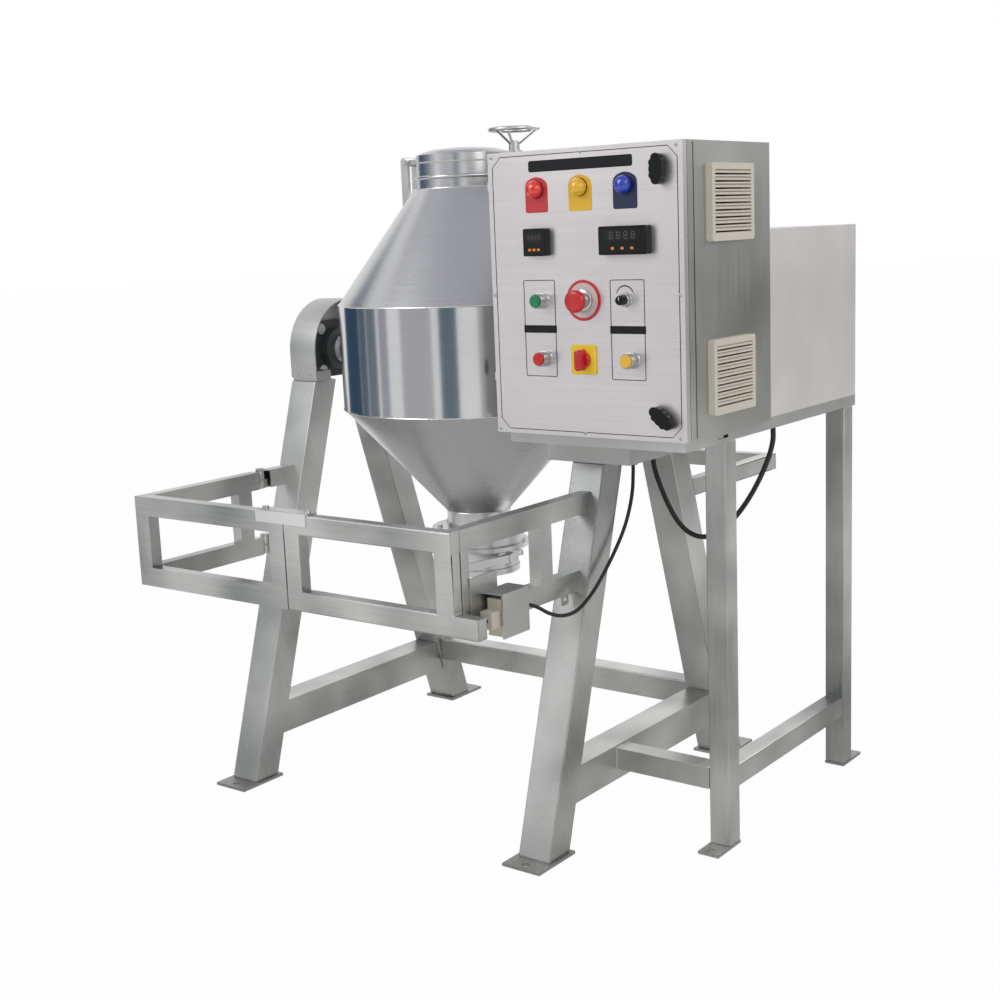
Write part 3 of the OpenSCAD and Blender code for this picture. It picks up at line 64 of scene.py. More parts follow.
# The two cables: black sheathed flex, pushed into glands, the thin one from the
# gate's switch to the head box and the thick one from there to the drive casing.
class Value:
    """A number or colour in a shader. The signs + - * > add Math nodes to its material."""

    def __init__(self, finish, socket):
        self.finish, self.socket = finish, socket

    def math(self, operation, other, swapped=False):
        """One Math node on this value and another, which comes first when swapped."""
        pair = {0: other, 1: self} if swapped else {0: self, 1: other}
        return self.finish.node("ShaderNodeMath", {"operation": operation}, pair)

    def __add__(self, other):
        return self.math("ADD", other)

    def __sub__(self, other):
        return self.math("SUBTRACT", other)

    def __rsub__(self, other):
        return self.math("SUBTRACT", other, True)

    def __mul__(self, other):
        return self.math("MULTIPLY", other)

    def __gt__(self, other):
        return self.math("GREATER_THAN", other)

    __radd__, __rmul__ = __add__, __mul__


class Finish:
    """One material: a Principled shader and the nodes that feed what varies over it."""

    def __init__(self, name, **fixed):
        self.material = bpy.data.materials.new(name)
        self.material.use_nodes = True
        self.tree = self.material.node_tree
        self.shader = self.tree.nodes["Principled BSDF"]
        self.shade(**fixed)

    def shade(self, **sockets):
        """Sets the shader's sockets, each named with _ for a space."""
        for name, value in sockets.items():
            self.feed(self.shader.inputs[name.replace("_", " ")], value)
        return self

    def feed(self, socket, value):
        """Links a Value to a socket, or sets the socket to a plain number or colour."""
        if isinstance(value, Value):
            self.tree.links.new(value.socket, socket)
        else:
            socket.default_value = value

    def node(self, kind, settings=None, inputs=None, output=0):
        """Adds one node: its settings first, then the values or links of its sockets."""
        node = self.tree.nodes.new(kind)
        for name, value in (settings or {}).items():
            setattr(node, name, value)
        for name, value in (inputs or {}).items():
            self.feed(node.inputs[name], value)
        return Value(self, node.outputs[output])

    def place(self, scale=(1, 1, 1), turn=(0, 0, 0)):
        """Object coordinates, turned by angles in radians and then stretched."""
        spot = self.node("ShaderNodeTexCoord", output=3)
        spot = self.node("ShaderNodeMapping", {}, {"Vector": spot, "Rotation": turn})
        return self.node("ShaderNodeMapping", {}, {"Vector": spot, "Scale": scale})

    def noise(self, scale, detail=2.0, stretch=(1, 1, 1), turn=(0, 0, 0)):
        """Cloudy noise from 0 to 1 with so many waves in a metre."""
        spot = self.place(stretch, turn)
        return self.node("ShaderNodeTexNoise", {}, {"Vector": spot, "Scale": scale, "Detail": detail})

    def mix(self, share, low, high):
        """Colour that goes from low to high as the share goes from 0 to 1."""
        kind = {"data_type": "RGBA", "clamp_factor": True}
        return self.node("ShaderNodeMix", kind, {0: share, 6: (*low, 1), 7: (*high, 1)}, output=2)

    def bump(self, height, strength, depth):
        """Normal of a relief whose full height is the depth in metres."""
        return self.node("ShaderNodeBump", {}, {"Height": height, "Strength": strength, "Distance": depth})


def skin(rings, looped=False):
    """A closed wall through rings of points. Each ring is joined to the next by four-sided faces,
    and the end rings are closed by one face each, or joined to one another when looped. If the
    wall's signed volume, a sum of corner-by-corner triple products, is negative, it is turned."""
    rings = np.asarray(rings, float)
    k, n = rings.shape[:2]
    i, j = np.meshgrid(np.arange(k if looped else k - 1), np.arange(n), indexing="ij")
    a, b = i * n + j, i * n + (j + 1) % n
    c, d = (i + 1) % k * n + (j + 1) % n, (i + 1) % k * n + j
    quads = np.stack([a, b, c, d], -1).reshape(-1, 4)
    points = rings.reshape(-1, 3)
    middle = points.mean(0)
    p = [points[quads[:, m]] - middle for m in range(4)]
    volume = (p[0] * (np.cross(p[1], p[2]) + np.cross(p[2], p[3]))).sum()
    faces = quads.tolist()
    if not looped:
        ends = [list(range(n))[::-1], list(range((k - 1) * n, k * n))]
        for end in ends:
            q = points[end] - middle
            volume += (q[0] * np.cross(q[1:-1], q[2:]).sum(0)).sum()
        faces += ends
    if volume < 0:
        faces = [face[::-1] for face in faces]
    return points, faces


CREASE = math.radians(38)


def piece(name, skins, body, finish, slot, replaces=()):
    """One object made of closed skins, which rides on a body and takes the given finish; the slot is not
    used. It is shaded smooth, but for edges that turn by more than the crease angle."""
    points, faces, start = [], [], 0
    for some, those in skins:
        faces += [[start + corner for corner in face] for face in those]
        points.append(some)
        start += len(some)
    mesh = bpy.data.meshes.new(name)
    mesh.from_pydata(np.concatenate(points), [], faces)
    mesh.polygons.foreach_set("use_smooth", np.ones(len(faces), bool))
    mesh.set_sharp_from_angle(angle=CREASE)
    mesh.materials.append(finish.material)
    thing = bpy.data.objects.new(name, mesh)
    bpy.context.collection.objects.link(thing)
    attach(thing, body)
    if replaces:
        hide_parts(*replaces)
    return thing


def curve_through(route, steps=6):
    """Points on a smooth line through a route: each span is a cubic whose slope at a route point
    is half the step from the point before to the point after."""
    p = np.asarray(route, float)
    p = np.vstack([2 * p[0] - p[1], p, 2 * p[-1] - p[-2]])
    t = np.linspace(0, 1, steps, endpoint=False)[None, :, None]
    a, b, c, d = (p[m:len(p) - 3 + m, None, :] for m in range(4))
    line = 0.5 * (2 * b + (c - a) * t + (2 * a - 5 * b + 4 * c - d) * t**2 + (3 * b - a - 3 * c + d) * t**3)
    return np.vstack([line.reshape(-1, 3), p[-2]])


def tube(path, radius, sides=16, across=(0.6, 0.8, 0), looped=False):
    """A round wire: a circle of that radius carried square to a path. The reference direction
    across isn't along the path anywhere."""
    path = np.asarray(path, float)
    if looped:
        along = np.roll(path, -1, 0) - np.roll(path, 1, 0)
    else:
        along = np.gradient(path, axis=0)
    along /= np.linalg.norm(along, axis=1, keepdims=True)
    side = np.cross(along, across)
    side /= np.linalg.norm(side, axis=1, keepdims=True)
    other = np.cross(along, side)
    turn = np.linspace(0, 2 * np.pi, sides, endpoint=False)[None, :, None]
    rings = path[:, None] + radius * (np.cos(turn) * side[:, None] + np.sin(turn) * other[:, None])
    return skin(rings, looped)


sheath = Finish("cable_sheath", Specular_IOR_Level=0.4)
grime = sheath.noise(90, 3)
sheath.shade(Base_Color=sheath.mix(grime, (0.012, 0.012, 0.013), (0.028, 0.027, 0.026)),
             Roughness=grime * 0.2 + 0.38, Normal=sheath.bump(sheath.noise(900), 0.15, 0.0004))
switch_route = np.array([
    [428, -428, 512], [428, -416, 512], [431, -392, 503], [436, -358, 483], [439, -320, 471],
    [440, -275, 472], [440, -225, 494], [440, -180, 527], [440, -140, 563], [440, -110, 597],
    [440, -90, 632], [440, -79, 664], [440, -76, 690], [440, -75, 701], [440, -75, 712]]) / 1000
drive_route = np.array([
    [415, 40, 712], [415, 40, 701], [418, 40, 684], [428, 40, 656], [441, 40, 627], [456, 40, 600],
    [473, 41, 577], [493, 43, 561], [516, 47, 554], [541, 53, 559], [566, 60, 577], [590, 69, 606],
    [611, 79, 641], [628, 89, 679], [640, 98, 716], [645, 104, 745], [645, 105, 765],
    [645, 105, 783]]) / 1000
for name, route, radius in (("switch_cable", switch_route, 0.0035), ("drive_cable", drive_route, 0.005)):
    path = curve_through(route)
    cable = piece(name + "_sheath", [tube(path, radius)], "frame", sheath, "cable_sheath", (name,))


# The studio's floor: pale paper that fades into a white room, and keeps a faint
# shadow of the machine.
def sheet_of(name, corners, material):
    """A flat sheet through four corners, which isn't part of the machine."""
    mesh = bpy.data.meshes.new(name)
    mesh.from_pydata(corners, [], [(0, 1, 2, 3)])
    mesh.materials.append(material)
    thing = bpy.data.objects.new(name, mesh)
    bpy.context.collection.objects.link(thing)
    return thing


def level_corners(half, z):
    """Corners of a level square of that half side about the machine."""
    return [(-half, -half, z), (half, -half, z), (half, half, z), (-half, half, z)]


def seen_white(tree, share):
    """Light Path's camera, glossy and transmission rays added up, at most 1, times a share."""
    path = tree.nodes.new("ShaderNodeLightPath")
    total = path.outputs["Is Camera Ray"]
    for ray in ("Is Glossy Ray", "Is Transmission Ray"):
        add = tree.nodes.new("ShaderNodeMath")
        add.use_clamp = True
        tree.links.new(total, add.inputs[0])
        tree.links.new(path.outputs[ray], add.inputs[1])
        total = add.outputs[0]
    scaled = tree.nodes.new("ShaderNodeMath")
    scaled.operation = "MULTIPLY"
    scaled.inputs[1].default_value = share
    tree.links.new(total, scaled.inputs[0])
    return scaled.outputs[0]


FLOOR_HALF, WHITE_SHARE = 30, 0.975
floor_finish = Finish("studio_floor", Base_Color=(0.86, 0.86, 0.86, 1), Roughness=0.9)
glow = floor_finish.tree.nodes.new("ShaderNodeEmission")
glow.inputs["Color"].default_value = (1, 1, 1, 1)
blend = floor_finish.tree.nodes.new("ShaderNodeMixShader")
floor_finish.tree.links.new(seen_white(floor_finish.tree, WHITE_SHARE), blend.inputs[0])
floor_finish.tree.links.new(floor_finish.shader.outputs[0], blend.inputs[1])
floor_finish.tree.links.new(glow.outputs[0], blend.inputs[2])
floor_finish.tree.links.new(blend.outputs[0], floor_finish.tree.nodes["Material Output"].inputs[0])
sheet_of("floor", level_corners(FLOOR_HALF, 0), floor_finish.material)

# The studio's walls: white to the camera and to bright metal, and half as strong
# as a light.
WALL_LIGHT = 0.5
room = bpy.data.worlds.new("room")
bpy.context.scene.world = room
room.use_nodes = True
wall = room.node_tree.nodes["Background"]
wall.inputs[0].default_value = (1, 1, 1, 1)
bright = room.node_tree.nodes.new("ShaderNodeMath")
bright.operation = "MULTIPLY_ADD"
bright.inputs[1].default_value, bright.inputs[2].default_value = 1 - WALL_LIGHT, WALL_LIGHT
room.node_tree.links.new(seen_white(room.node_tree, 1), bright.inputs[0])
room.node_tree.links.new(bright.outputs[0], wall.inputs[1])


# The studio's cards: grey and blue boards round, over and under the machine, which
# show only as reflections in what shines.
def card(name, corners, colour):
    """A board of one colour that shows in reflections alone."""
    board = Finish(name, Base_Color=(0, 0, 0, 1), Roughness=1.0, Specular_IOR_Level=0.0,
                   Emission_Color=(*colour, 1), Emission_Strength=1.0)
    screen = sheet_of(name, corners, board.material)
    screen.visible_camera = screen.visible_diffuse = screen.visible_shadow = False


CARD_AWAY = 4.2
# Each upright card: the azimuth it stands at in degrees, its width, height and colour
UPRIGHT_CARDS = (
    (184, 2.0, 3.6, (0.045, 0.09, 0.15)), (203, 0.75, 3.6, (0.13, 0.17, 0.22)),
    (215, 0.9, 3.6, (0.20, 0.24, 0.28)), (229, 0.7, 3.6, (0.42, 0.44, 0.48)),
    (261, 2.1, 3.6, (0.56, 0.56, 0.59)), (289, 1.1, 3.6, (0.15, 0.21, 0.25)),
    (326, 1.8, 3.2, (0.52, 0.51, 0.50)), (50, 2.6, 1.5, (0.22, 0.22, 0.22)),
    (8, 1.2, 2.4, (0.14, 0.14, 0.14)), (95, 1.4, 2.4, (0.10, 0.11, 0.12)))
for number, (azimuth, width, height, colour) in enumerate(UPRIGHT_CARDS):
    facing = math.radians(azimuth)
    middle = np.array([math.cos(facing), math.sin(facing), 0]) * CARD_AWAY
    wide = np.array([-math.sin(facing), math.cos(facing), 0]) * width / 2
    tall = np.array([0, 0, height])
    card(f"card_{number}", [middle - wide, middle + wide, middle + wide + tall, middle - wide + tall], colour)
card("ceiling_card", level_corners(4.0, 5.0), (0.52, 0.53, 0.57))
card("ground_card", level_corners(1.5, 0.001), (0.50, 0.50, 0.49))

# The studio's lamps: three broad soft boxes, from the left front, the right and the
# back, all turned to the middle of the machine.
AIM = Vector((0.1, 0, 0.8))
for name, spot, size, power in (("key", (-1.6, -3.4, 3.4), 2.2, 62), ("fill", (3.6, -1.4, 2.6), 2.4, 34),
                                ("back", (0.6, 3.4, 3.2), 2.4, 34)):
    lamp = bpy.data.lights.new(name, "AREA")
    lamp.energy, lamp.size = power, size
    thing = bpy.data.objects.new(name, lamp)
    thing.location = spot
    thing.rotation_euler = (AIM - Vector(spot)).to_track_quat("-Z", "Y").to_euler()
    bpy.context.collection.objects.link(thing)


# The steel frame: square and rectangular stainless tube, brushed along its length,
# with the mill's cloudy shade and rounded corners, welded up into trestles and rails.
def brushed(name, colour, shade, rough, stretch, turn=(0, 0, 0), grain=0.35):
    """Brushed metal: noise drawn out along the grain for bump and gloss, and slow clouds between
    two shades for the colour."""
    finish = Finish(name, Metallic=1.0)
    lines = finish.noise(1, 3, stretch, turn)
    clouds = finish.noise(4.5, 2)
    share = clouds * 1.9 + lines * 0.4 - 0.70
    return finish.shade(Base_Color=finish.mix(share, shade, colour),
                        Roughness=lines * 0.22 + clouds * 0.16 + rough,
                        Normal=finish.bump(lines, grain, 0.0006))


def dress(finish, *nodes):
    """Gives CAD nodes a finish."""
    for node in nodes:
        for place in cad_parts[node].material_slots:
            place.link = "OBJECT"
            place.material = finish.material


def soften(width, *nodes):
    """Rounds the outer corners of CAD nodes, once their loose triangles are joined."""
    for node in nodes:
        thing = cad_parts[node]
        thing.modifiers.new("join", "WELD").merge_threshold = 0.00002
        corner = thing.modifiers.new("corners", "BEVEL")
        corner.width, corner.segments, corner.limit_method = width, 2, "ANGLE"
        corner.angle_limit = math.radians(50)


TUBE, TUBE_DARK = (0.76, 0.75, 0.725), (0.26, 0.275, 0.265)
TUBE_ROUGH, RAIL_ROUGH = 0.16, 0.15
UP_GRAIN, CROSS_GRAIN, RAIL_GRAIN = (420, 420, 9), (90, 9, 420), (9, 420, 420)
LEAN = math.radians(17.06)
CORNER_R = 0.0025
dress(brushed("leg_front", TUBE, TUBE_DARK, TUBE_ROUGH, UP_GRAIN, (-LEAN, 0, 0)),
      "idle_front_leg", "drive_front_leg")
dress(brushed("leg_rear", TUBE, TUBE_DARK, TUBE_ROUGH, UP_GRAIN, (LEAN, 0, 0)),
      "idle_rear_leg", "drive_rear_leg")
dress(brushed("upright_tube", TUBE, TUBE_DARK, TUBE_ROUGH, UP_GRAIN), "stand_legs")
dress(brushed("cross_tube", TUBE, TUBE_DARK, TUBE_ROUGH, CROSS_GRAIN),
      "frame_beams", "fixed_side_frame", "gate_side_frame", "guard_stubs")
dress(brushed("foot_plate", (0.50, 0.50, 0.48), (0.27, 0.27, 0.26), 0.3, (60, 60, 60)), "foot_plates")
front_rail = brushed("front_rail", TUBE, TUBE_DARK, RAIL_ROUGH, RAIL_GRAIN)
dress(front_rail, "gate_front_left", "gate_front_right", "rear_guard")
soften(CORNER_R, "idle_front_leg", "idle_rear_leg", "drive_front_leg", "drive_rear_leg", "stand_legs",
       "gate_side_frame", "gate_front_left", "gate_front_right", "rear_guard", "frame_beams")


# The plates that close the open ends of the guard's rails: small cut squares of the
# same steel, welded in just inside the tube.
def block(middle, size):
    """A closed box from its middle and its sizes."""
    (x, y, z), (w, d, h) = middle, size
    square = np.array([(-w, -d), (w, -d), (w, d), (-w, d)]) / 2 + (x, y)
    return skin([np.column_stack([square, np.full(4, z + rise)]) for rise in (-h / 2, h / 2)])


BORE_W, BORE_H, PLUG_T = 0.021, 0.034, 0.002
UPPER_RAIL_Z, LOWER_RAIL_Z, REAR_RAIL_Z = 0.653, 0.510, 0.624
FRONT_RAIL_Y, RAIL_HALF = -0.5795, 0.0125
LEFT_END, RIGHT_UPPER_END, RIGHT_LOWER_END = -0.403, 0.403, 0.454
SIDE_RAIL_X, SIDE_RAIL_END = -0.3915, -0.2775
plugs = [block((x, FRONT_RAIL_Y, z), (PLUG_T, BORE_W, BORE_H)) for x, z in (
    (LEFT_END, UPPER_RAIL_Z), (LEFT_END, LOWER_RAIL_Z),
    (RIGHT_UPPER_END, UPPER_RAIL_Z), (RIGHT_LOWER_END, LOWER_RAIL_Z))]
plugs += [block((SIDE_RAIL_X, SIDE_RAIL_END, z), (BORE_W, PLUG_T, BORE_H))
          for z in (UPPER_RAIL_Z, LOWER_RAIL_Z)]
piece("gate_rail_plugs", plugs, "guard_gate", front_rail, "tube_steel")
rear_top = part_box("rear_guard")[1]
piece("rear_rail_plugs", [block((side * (rear_top[0] - PLUG_T / 2), rear_top[1] - RAIL_HALF, REAR_RAIL_Z),
                                (PLUG_T, BORE_W, BORE_H)) for side in (-1, 1)],
      "frame", front_rail, "tube_steel")

# The angle over the front rail's joint: bright stainless sheet, whose front leaf hangs
# before both halves of the rail; only that leaf is made here.
joint_finish = brushed("joint_angle", (0.84, 0.83, 0.82), (0.68, 0.68, 0.67), 0.2, (9, 300, 300), grain=0.1)
piece("joint_angle", [block((0.006, -0.5930, 0.6635), (0.128, 0.0018, 0.022))],
      "guard_gate", joint_finish, "tube_steel")

# The vessel: two spun cones and a rolled band in stainless sheet, welded edge to
# edge, brushed round the cones and polished on the band.
BAND_LOW, BAND_TOP, BAND_R = 0.806, 1.022, 0.2748
vessel_finish = Finish("vessel_steel", Metallic=1.0)
rings = vessel_finish.noise(1, 3, (6, 6, 520))
spots = vessel_finish.noise(5, 3)
height = vessel_finish.node("ShaderNodeSeparateXYZ", {}, {0: vessel_finish.place()}, 2)
band = (height > BAND_LOW) * (1 - (height > BAND_TOP))
vessel_finish.shade(
    Base_Color=vessel_finish.mix(rings * 0.3 + spots * 0.8 - 0.1, (0.48, 0.485, 0.50), (0.66, 0.66, 0.665)),
    Roughness=(1 - band) * 0.15 + rings * 0.06 + 0.10,
    Normal=vessel_finish.bump(rings * (1.03 - band), 0.05, 0.0005))
dress(vessel_finish, "vessel_shell", "lid")


# The vessel's seams: bright rippled weld beads, round both edges of the band and
# where the cones meet the collar and the neck.
def circle(r, n=96):
    """Points round a circle in the plane of the first two axes."""
    turn = np.linspace(0, 2 * np.pi, n, endpoint=False)
    return np.stack([r * np.cos(turn), r * np.sin(turn)], -1)


def hoop(r, z, n=128):
    """A level circle about the vessel's own axis."""
    return np.column_stack([circle(r, n), np.full(n, z)])


weld = Finish("weld_bead", Metallic=1.0)
ripple = weld.noise(420, 2)
weld.shade(Base_Color=weld.mix(ripple, (0.62, 0.61, 0.58), (0.92, 0.92, 0.90)),
           Roughness=ripple * 0.2 + 0.12, Normal=weld.bump(ripple, 0.5, 0.0006))
SEAMS = ((BAND_R, BAND_TOP, 0.0014), (BAND_R, BAND_LOW, 0.0014), (0.1058, 1.2505, 0.0012),
         (0.0682, 0.5775, 0.0012))
piece("vessel_welds", [tube(hoop(r, z), bead_r, 8, (0, 0, 1), True) for r, z, bead_r in SEAMS],
      "vessel", weld, "vessel_steel")

# The bright fittings: the shafts, rings, lugs, outlet fittings, clamp, hinge pin and
# bolts, in stainless steel that is turned, cut or bent and then polished.
turned = brushed("turned_steel", (0.70, 0.70, 0.69), (0.52, 0.52, 0.52), 0.12, (12, 12, 24), grain=0.01)
dress(turned, "trunnion_shafts", "bearing_rings", "outlet_spool", "valve_body", "outlet_clamp",
      "vessel_lugs", "lid_hinge_pin", "valve_disc", "valve_lever", "clamp_washer", "clamp_wheel",
      "bearing_bolts")

# The castings: the two bearing housings and the shaft coupling, sand cast in iron
# and painted dark.
casting = Finish("cast_housing", Specular_IOR_Level=0.5)
sand = casting.noise(300, 3)
casting.shade(Base_Color=casting.mix(sand, (0.045, 0.055, 0.06), (0.11, 0.12, 0.125)),
              Roughness=sand * 0.2 + 0.4, Normal=casting.bump(sand, 0.4, 0.0008))
dress(casting, "bearing_housings", "shaft_coupling")

# The plate work: folded and rolled stainless sheet, screwed or welded to the trestles
# to carry the drive, the bearings and the switch.
dress(brushed("plate_steel", (0.66, 0.66, 0.64), (0.42, 0.42, 0.41), 0.2, (9, 300, 300)),
      "base_tray", "head_box", "bearing_seats", "idle_bearing_cover", "switch_bracket")

# The drive: a worm gearbox and its motor in blue enamel, bolted together and hidden
# in the casing.
enamel = Finish("drive_enamel", Coat_Weight=0.3)
orange_peel = enamel.noise(500)
enamel.shade(Base_Color=enamel.mix(orange_peel, (0.035, 0.085, 0.15), (0.05, 0.11, 0.19)),
             Roughness=orange_peel * 0.15 + 0.3, Normal=enamel.bump(orange_peel, 0.1, 0.0004))
dress(enamel, "gearbox", "drive_motor")

# The cabinet and the casing behind it: folded stainless sheet with a fine upright
# grain, the casing paler and duller.
SHEET_GRAIN = (520, 520, 7)
dress(brushed("cabinet_sheet", (0.62, 0.62, 0.59), (0.40, 0.405, 0.38), 0.18, SHEET_GRAIN, grain=0.2),
      "cabinet_body")
casing_sheet = brushed("casing_sheet", (0.80, 0.765, 0.755), (0.68, 0.65, 0.64), 0.28, SHEET_GRAIN,
                       grain=0.12)
dress(casing_sheet.shade(Metallic=0.5), "drive_casing")

# The door: a folded stainless tray whose face is brushed from side to side and is
# paler than the cabinet.
door_finish = Finish("door_sheet", Metallic=0.85)
fine = door_finish.noise(1, 3, (7, 520, 620))
cloud = door_finish.noise(6, 3)
door_share = fine * 0.7 + cloud * 0.7 - 0.2
door_finish.shade(Base_Color=door_finish.mix(door_share, (0.59, 0.56, 0.565), (0.79, 0.755, 0.76)),
                  Roughness=fine * 0.16 + 0.26, Normal=door_finish.bump(fine, 0.14, 0.0004))
dress(door_finish, "cabinet_door")

# The seam down the cabinet's side: the joint between its front frame and its wall,
# where a thin dark strip paints the shadow in the gap.
seam = Finish("seam_shadow", Specular_IOR_Level=0.2)
# Painted shadow: the strip's near-black colours, mottled by noise, stand for the shade in the gap.
seam_shadow_noise = seam.noise(200)
seam.shade(Base_Color=seam.mix(seam_shadow_noise, (0.03, 0.04, 0.04), (0.07, 0.08, 0.08)),
           Roughness=seam_shadow_noise * 0.2 + 0.5)
piece("cabinet_seam_shadow", [block((0.6902, -0.2655, 1.048), (0.0006, 0.0016, 0.494))],
      "frame", seam, "panel_steel")

# The seals of the lid and the door: pale silicone rubber, cut flat and laid between
# the faces that they seal.
rubber = Finish("gasket_rubber", Specular_IOR_Level=0.3)
skin_marks = rubber.noise(500, 2)
rubber.shade(Base_Color=rubber.mix(skin_marks, (0.50, 0.49, 0.46), (0.60, 0.59, 0.55)),
             Roughness=skin_marks * 0.2 + 0.5)
dress(rubber, "lid_gasket", "door_gasket")

# The component plate in the cabinet: a yellow-passivated zinc sheet on studs, with
# what it carries.
zinc = Finish("zinc_plate", Metallic=0.8)
zinc.shade(Base_Color=zinc.mix(zinc.noise(60), (0.42, 0.40, 0.33), (0.60, 0.57, 0.48)),
           Roughness=zinc.noise(40) * 0.3 + 0.3)
dress(zinc, "component_plate")

# The two vent grilles: moulded frames of cream plastic on the cabinet's side, each
# with a row of slanted blades, of which the top one is made here.
louvre = Finish("vent_plastic", Specular_IOR_Level=0.4)
pores = louvre.noise(700, 2)
louvre.shade(Base_Color=louvre.mix(louvre.noise(8, 3), (0.60, 0.555, 0.46), (0.70, 0.655, 0.56)),
             Roughness=pores * 0.15 + 0.42, Normal=louvre.bump(pores, 0.12, 0.0003))
dress(louvre, "vent_grilles")
GRILLE_ZS, BLADE_ENDS = (0.900, 1.196), (-0.213, -0.085)
BLADE_SECTION = np.array([(0.6932, 0.054), (0.7018, 0.048), (0.7018, 0.051), (0.6932, 0.0568)])
top_blades = []
for grille_z in GRILLE_ZS:
    x, z = (BLADE_SECTION + (0, grille_z)).T
    top_blades.append(skin([np.column_stack([x, np.full(4, y), z]) for y in BLADE_ENDS]))
piece("grille_top_blades", top_blades, "frame", louvre, "vent_plastic")


# The small plastic parts: the door's knobs, the cable glands and the switch's plunger
# in glossy black, the fan in dull black and the limit switch in cream.
def moulded(name, low, high, rough=0.3, scale=600, **fixed):
    """Moulded plastic: a slight play between two shades and a fine skin."""
    finish = Finish(name, **fixed)
    marks = finish.noise(scale, 2)
    return finish.shade(Base_Color=finish.mix(marks, low, high), Roughness=marks * 0.12 + rough,
                        Normal=finish.bump(marks, 0.08, 0.0003))


black = moulded("black_plastic", (0.004, 0.005, 0.005), (0.011, 0.012, 0.012), 0.10, 250,
                Specular_IOR_Level=0.22)
dress(moulded("fan_plastic", (0.012, 0.012, 0.012), (0.03, 0.03, 0.03), 0.4), "vent_fan")
dress(black, "upper_door_knob", "lower_door_knob", "switch_plunger", "cable_glands")
dress(moulded("switch_case", (0.50, 0.47, 0.38), (0.62, 0.58, 0.48), 0.35), "limit_switch")


# The panel's lines and bars: thin black print and sheet on the door's front, whose
# lower left corner is the panel's own zero.
PANEL_ZERO = (0.290, -0.299, 0.798)


def on_panel(local, spot=(0, 0)):
    """Points given as (right, up, out of the door) from a spot on the panel, put on the door's face."""
    local = np.asarray(local, float)
    x, y, z = PANEL_ZERO
    return np.stack([x + spot[0] + local[..., 0], y - local[..., 2], z + spot[1] + local[..., 1]], -1)


def tablet(w, h, r, arch=0.0):
    """A rectangle with round corners, counter-clockwise from the right; arch lifts the middle of
    its top edge by a cosine."""
    turn = np.linspace(0, np.pi / 2, 6)
    arc = np.stack([np.cos(turn), np.sin(turn)], -1) * r
    corners = []
    for quarter, (x, y) in enumerate(((1, 1), (-1, 1), (-1, -1), (1, -1))):
        c, s = round(math.cos(quarter * math.pi / 2)), round(math.sin(quarter * math.pi / 2))
        corners.append(arc @ np.array([[c, s], [-s, c]]) + (x * (w / 2 - r), y * (h / 2 - r)))
        if quarter == 0 and arch:
            span = np.linspace(w / 2 - r, r - w / 2, 14)[1:-1]
            corners.append(np.stack([span, np.full(len(span), h / 2)], -1))
    shape = np.vstack(corners)
    if arch:
        lift = arch * np.cos(np.pi * shape[:, 0] / w) ** 0.5
        shape[:, 1] += np.where(shape[:, 1] > h / 2 - r, lift, 0)
    return shape


def inset(outline, d):
    """The outline moved inwards by d, square to the line through each point's neighbours."""
    along = np.roll(outline, -1, 0) - np.roll(outline, 1, 0)
    along /= np.linalg.norm(along, axis=1, keepdims=True)
    return outline + d * np.stack([-along[:, 1], along[:, 0]], -1)


def stack(outline, steps):
    """Rings of an outline: each step gives how far in it is and its height out of the panel."""
    return np.stack([np.column_stack([inset(outline, d), np.full(len(outline), w)]) for d, w in steps])


SUNK = -0.0001


def flat_plate(outline, t, edge):
    """A plate of thickness t with its front edge cut back."""
    return stack(outline, ((0, SUNK), (0, t - edge), (edge, t)))


def outlined(outline, width, t):
    """A raised line of that width round an outline."""
    return stack(outline, ((0, SUNK), (0, t), (width, t), (width, SUNK)))


ink = moulded("panel_ink", (0.006, 0.007, 0.009), (0.014, 0.015, 0.018), 0.35, Specular_IOR_Level=0.2)
LINE_T, LINE_W = 0.0003, 0.0013
BAR_H, BAR_UP, BAR_OVER = 0.0135, 0.1895, 0.003
TITLE_W, TITLE_H, TITLE_AT = 0.214, 0.0195, (0.1965, 0.4725)
DIAL_R, DIAL_AT = 0.0175, (0.283, 0.247)
# The border with its cut corners, and the two boxes' left, right, lower and upper edges
border = np.array([(0.3905, 0.026), (0.3905, 0.474), (0.372, 0.4925), (0.028, 0.4925), (0.0095, 0.474),
                   (0.0095, 0.026), (0.028, 0.0075), (0.372, 0.0075)])
BOXES = ((0.070, 0.138, 0.105, 0.276), (0.253, 0.322, 0.103, 0.275))
marks = [skin(on_panel(outlined(border, LINE_W, LINE_T)), True)]
for x0, x1, z0, z1 in BOXES:
    box = tablet(x1 - x0, z1 - z0, 0.003)
    marks.append(skin(on_panel(outlined(box, LINE_W, LINE_T), ((x0 + x1) / 2, (z0 + z1) / 2)), True))
    bar = tablet(x1 - x0 + BAR_OVER, BAR_H, 0.001)
    marks.append(skin(on_panel(flat_plate(bar, 0.0005, 0.0002), ((x0 + x1) / 2, BAR_UP))))
marks.append(skin(on_panel(flat_plate(tablet(TITLE_W, TITLE_H, 0.004), 0.0006, 0.0003), TITLE_AT)))
arc = np.linspace(math.radians(12), math.radians(165), 30)
taper = 0.0006 + 0.0016 * np.sin(np.linspace(0, np.pi, 30)) ** 0.6
round_dial = np.stack([np.cos(arc), np.sin(arc)], -1)
dial = np.concatenate([round_dial * (DIAL_R + taper / 2)[:, None],
                       (round_dial * (DIAL_R - taper / 2)[:, None])[::-1]])
marks.append(skin(on_panel(stack(dial, ((0, SUNK), (0, LINE_T))), DIAL_AT)))
piece("panel_marks", marks, "door", ink, "black_plastic")

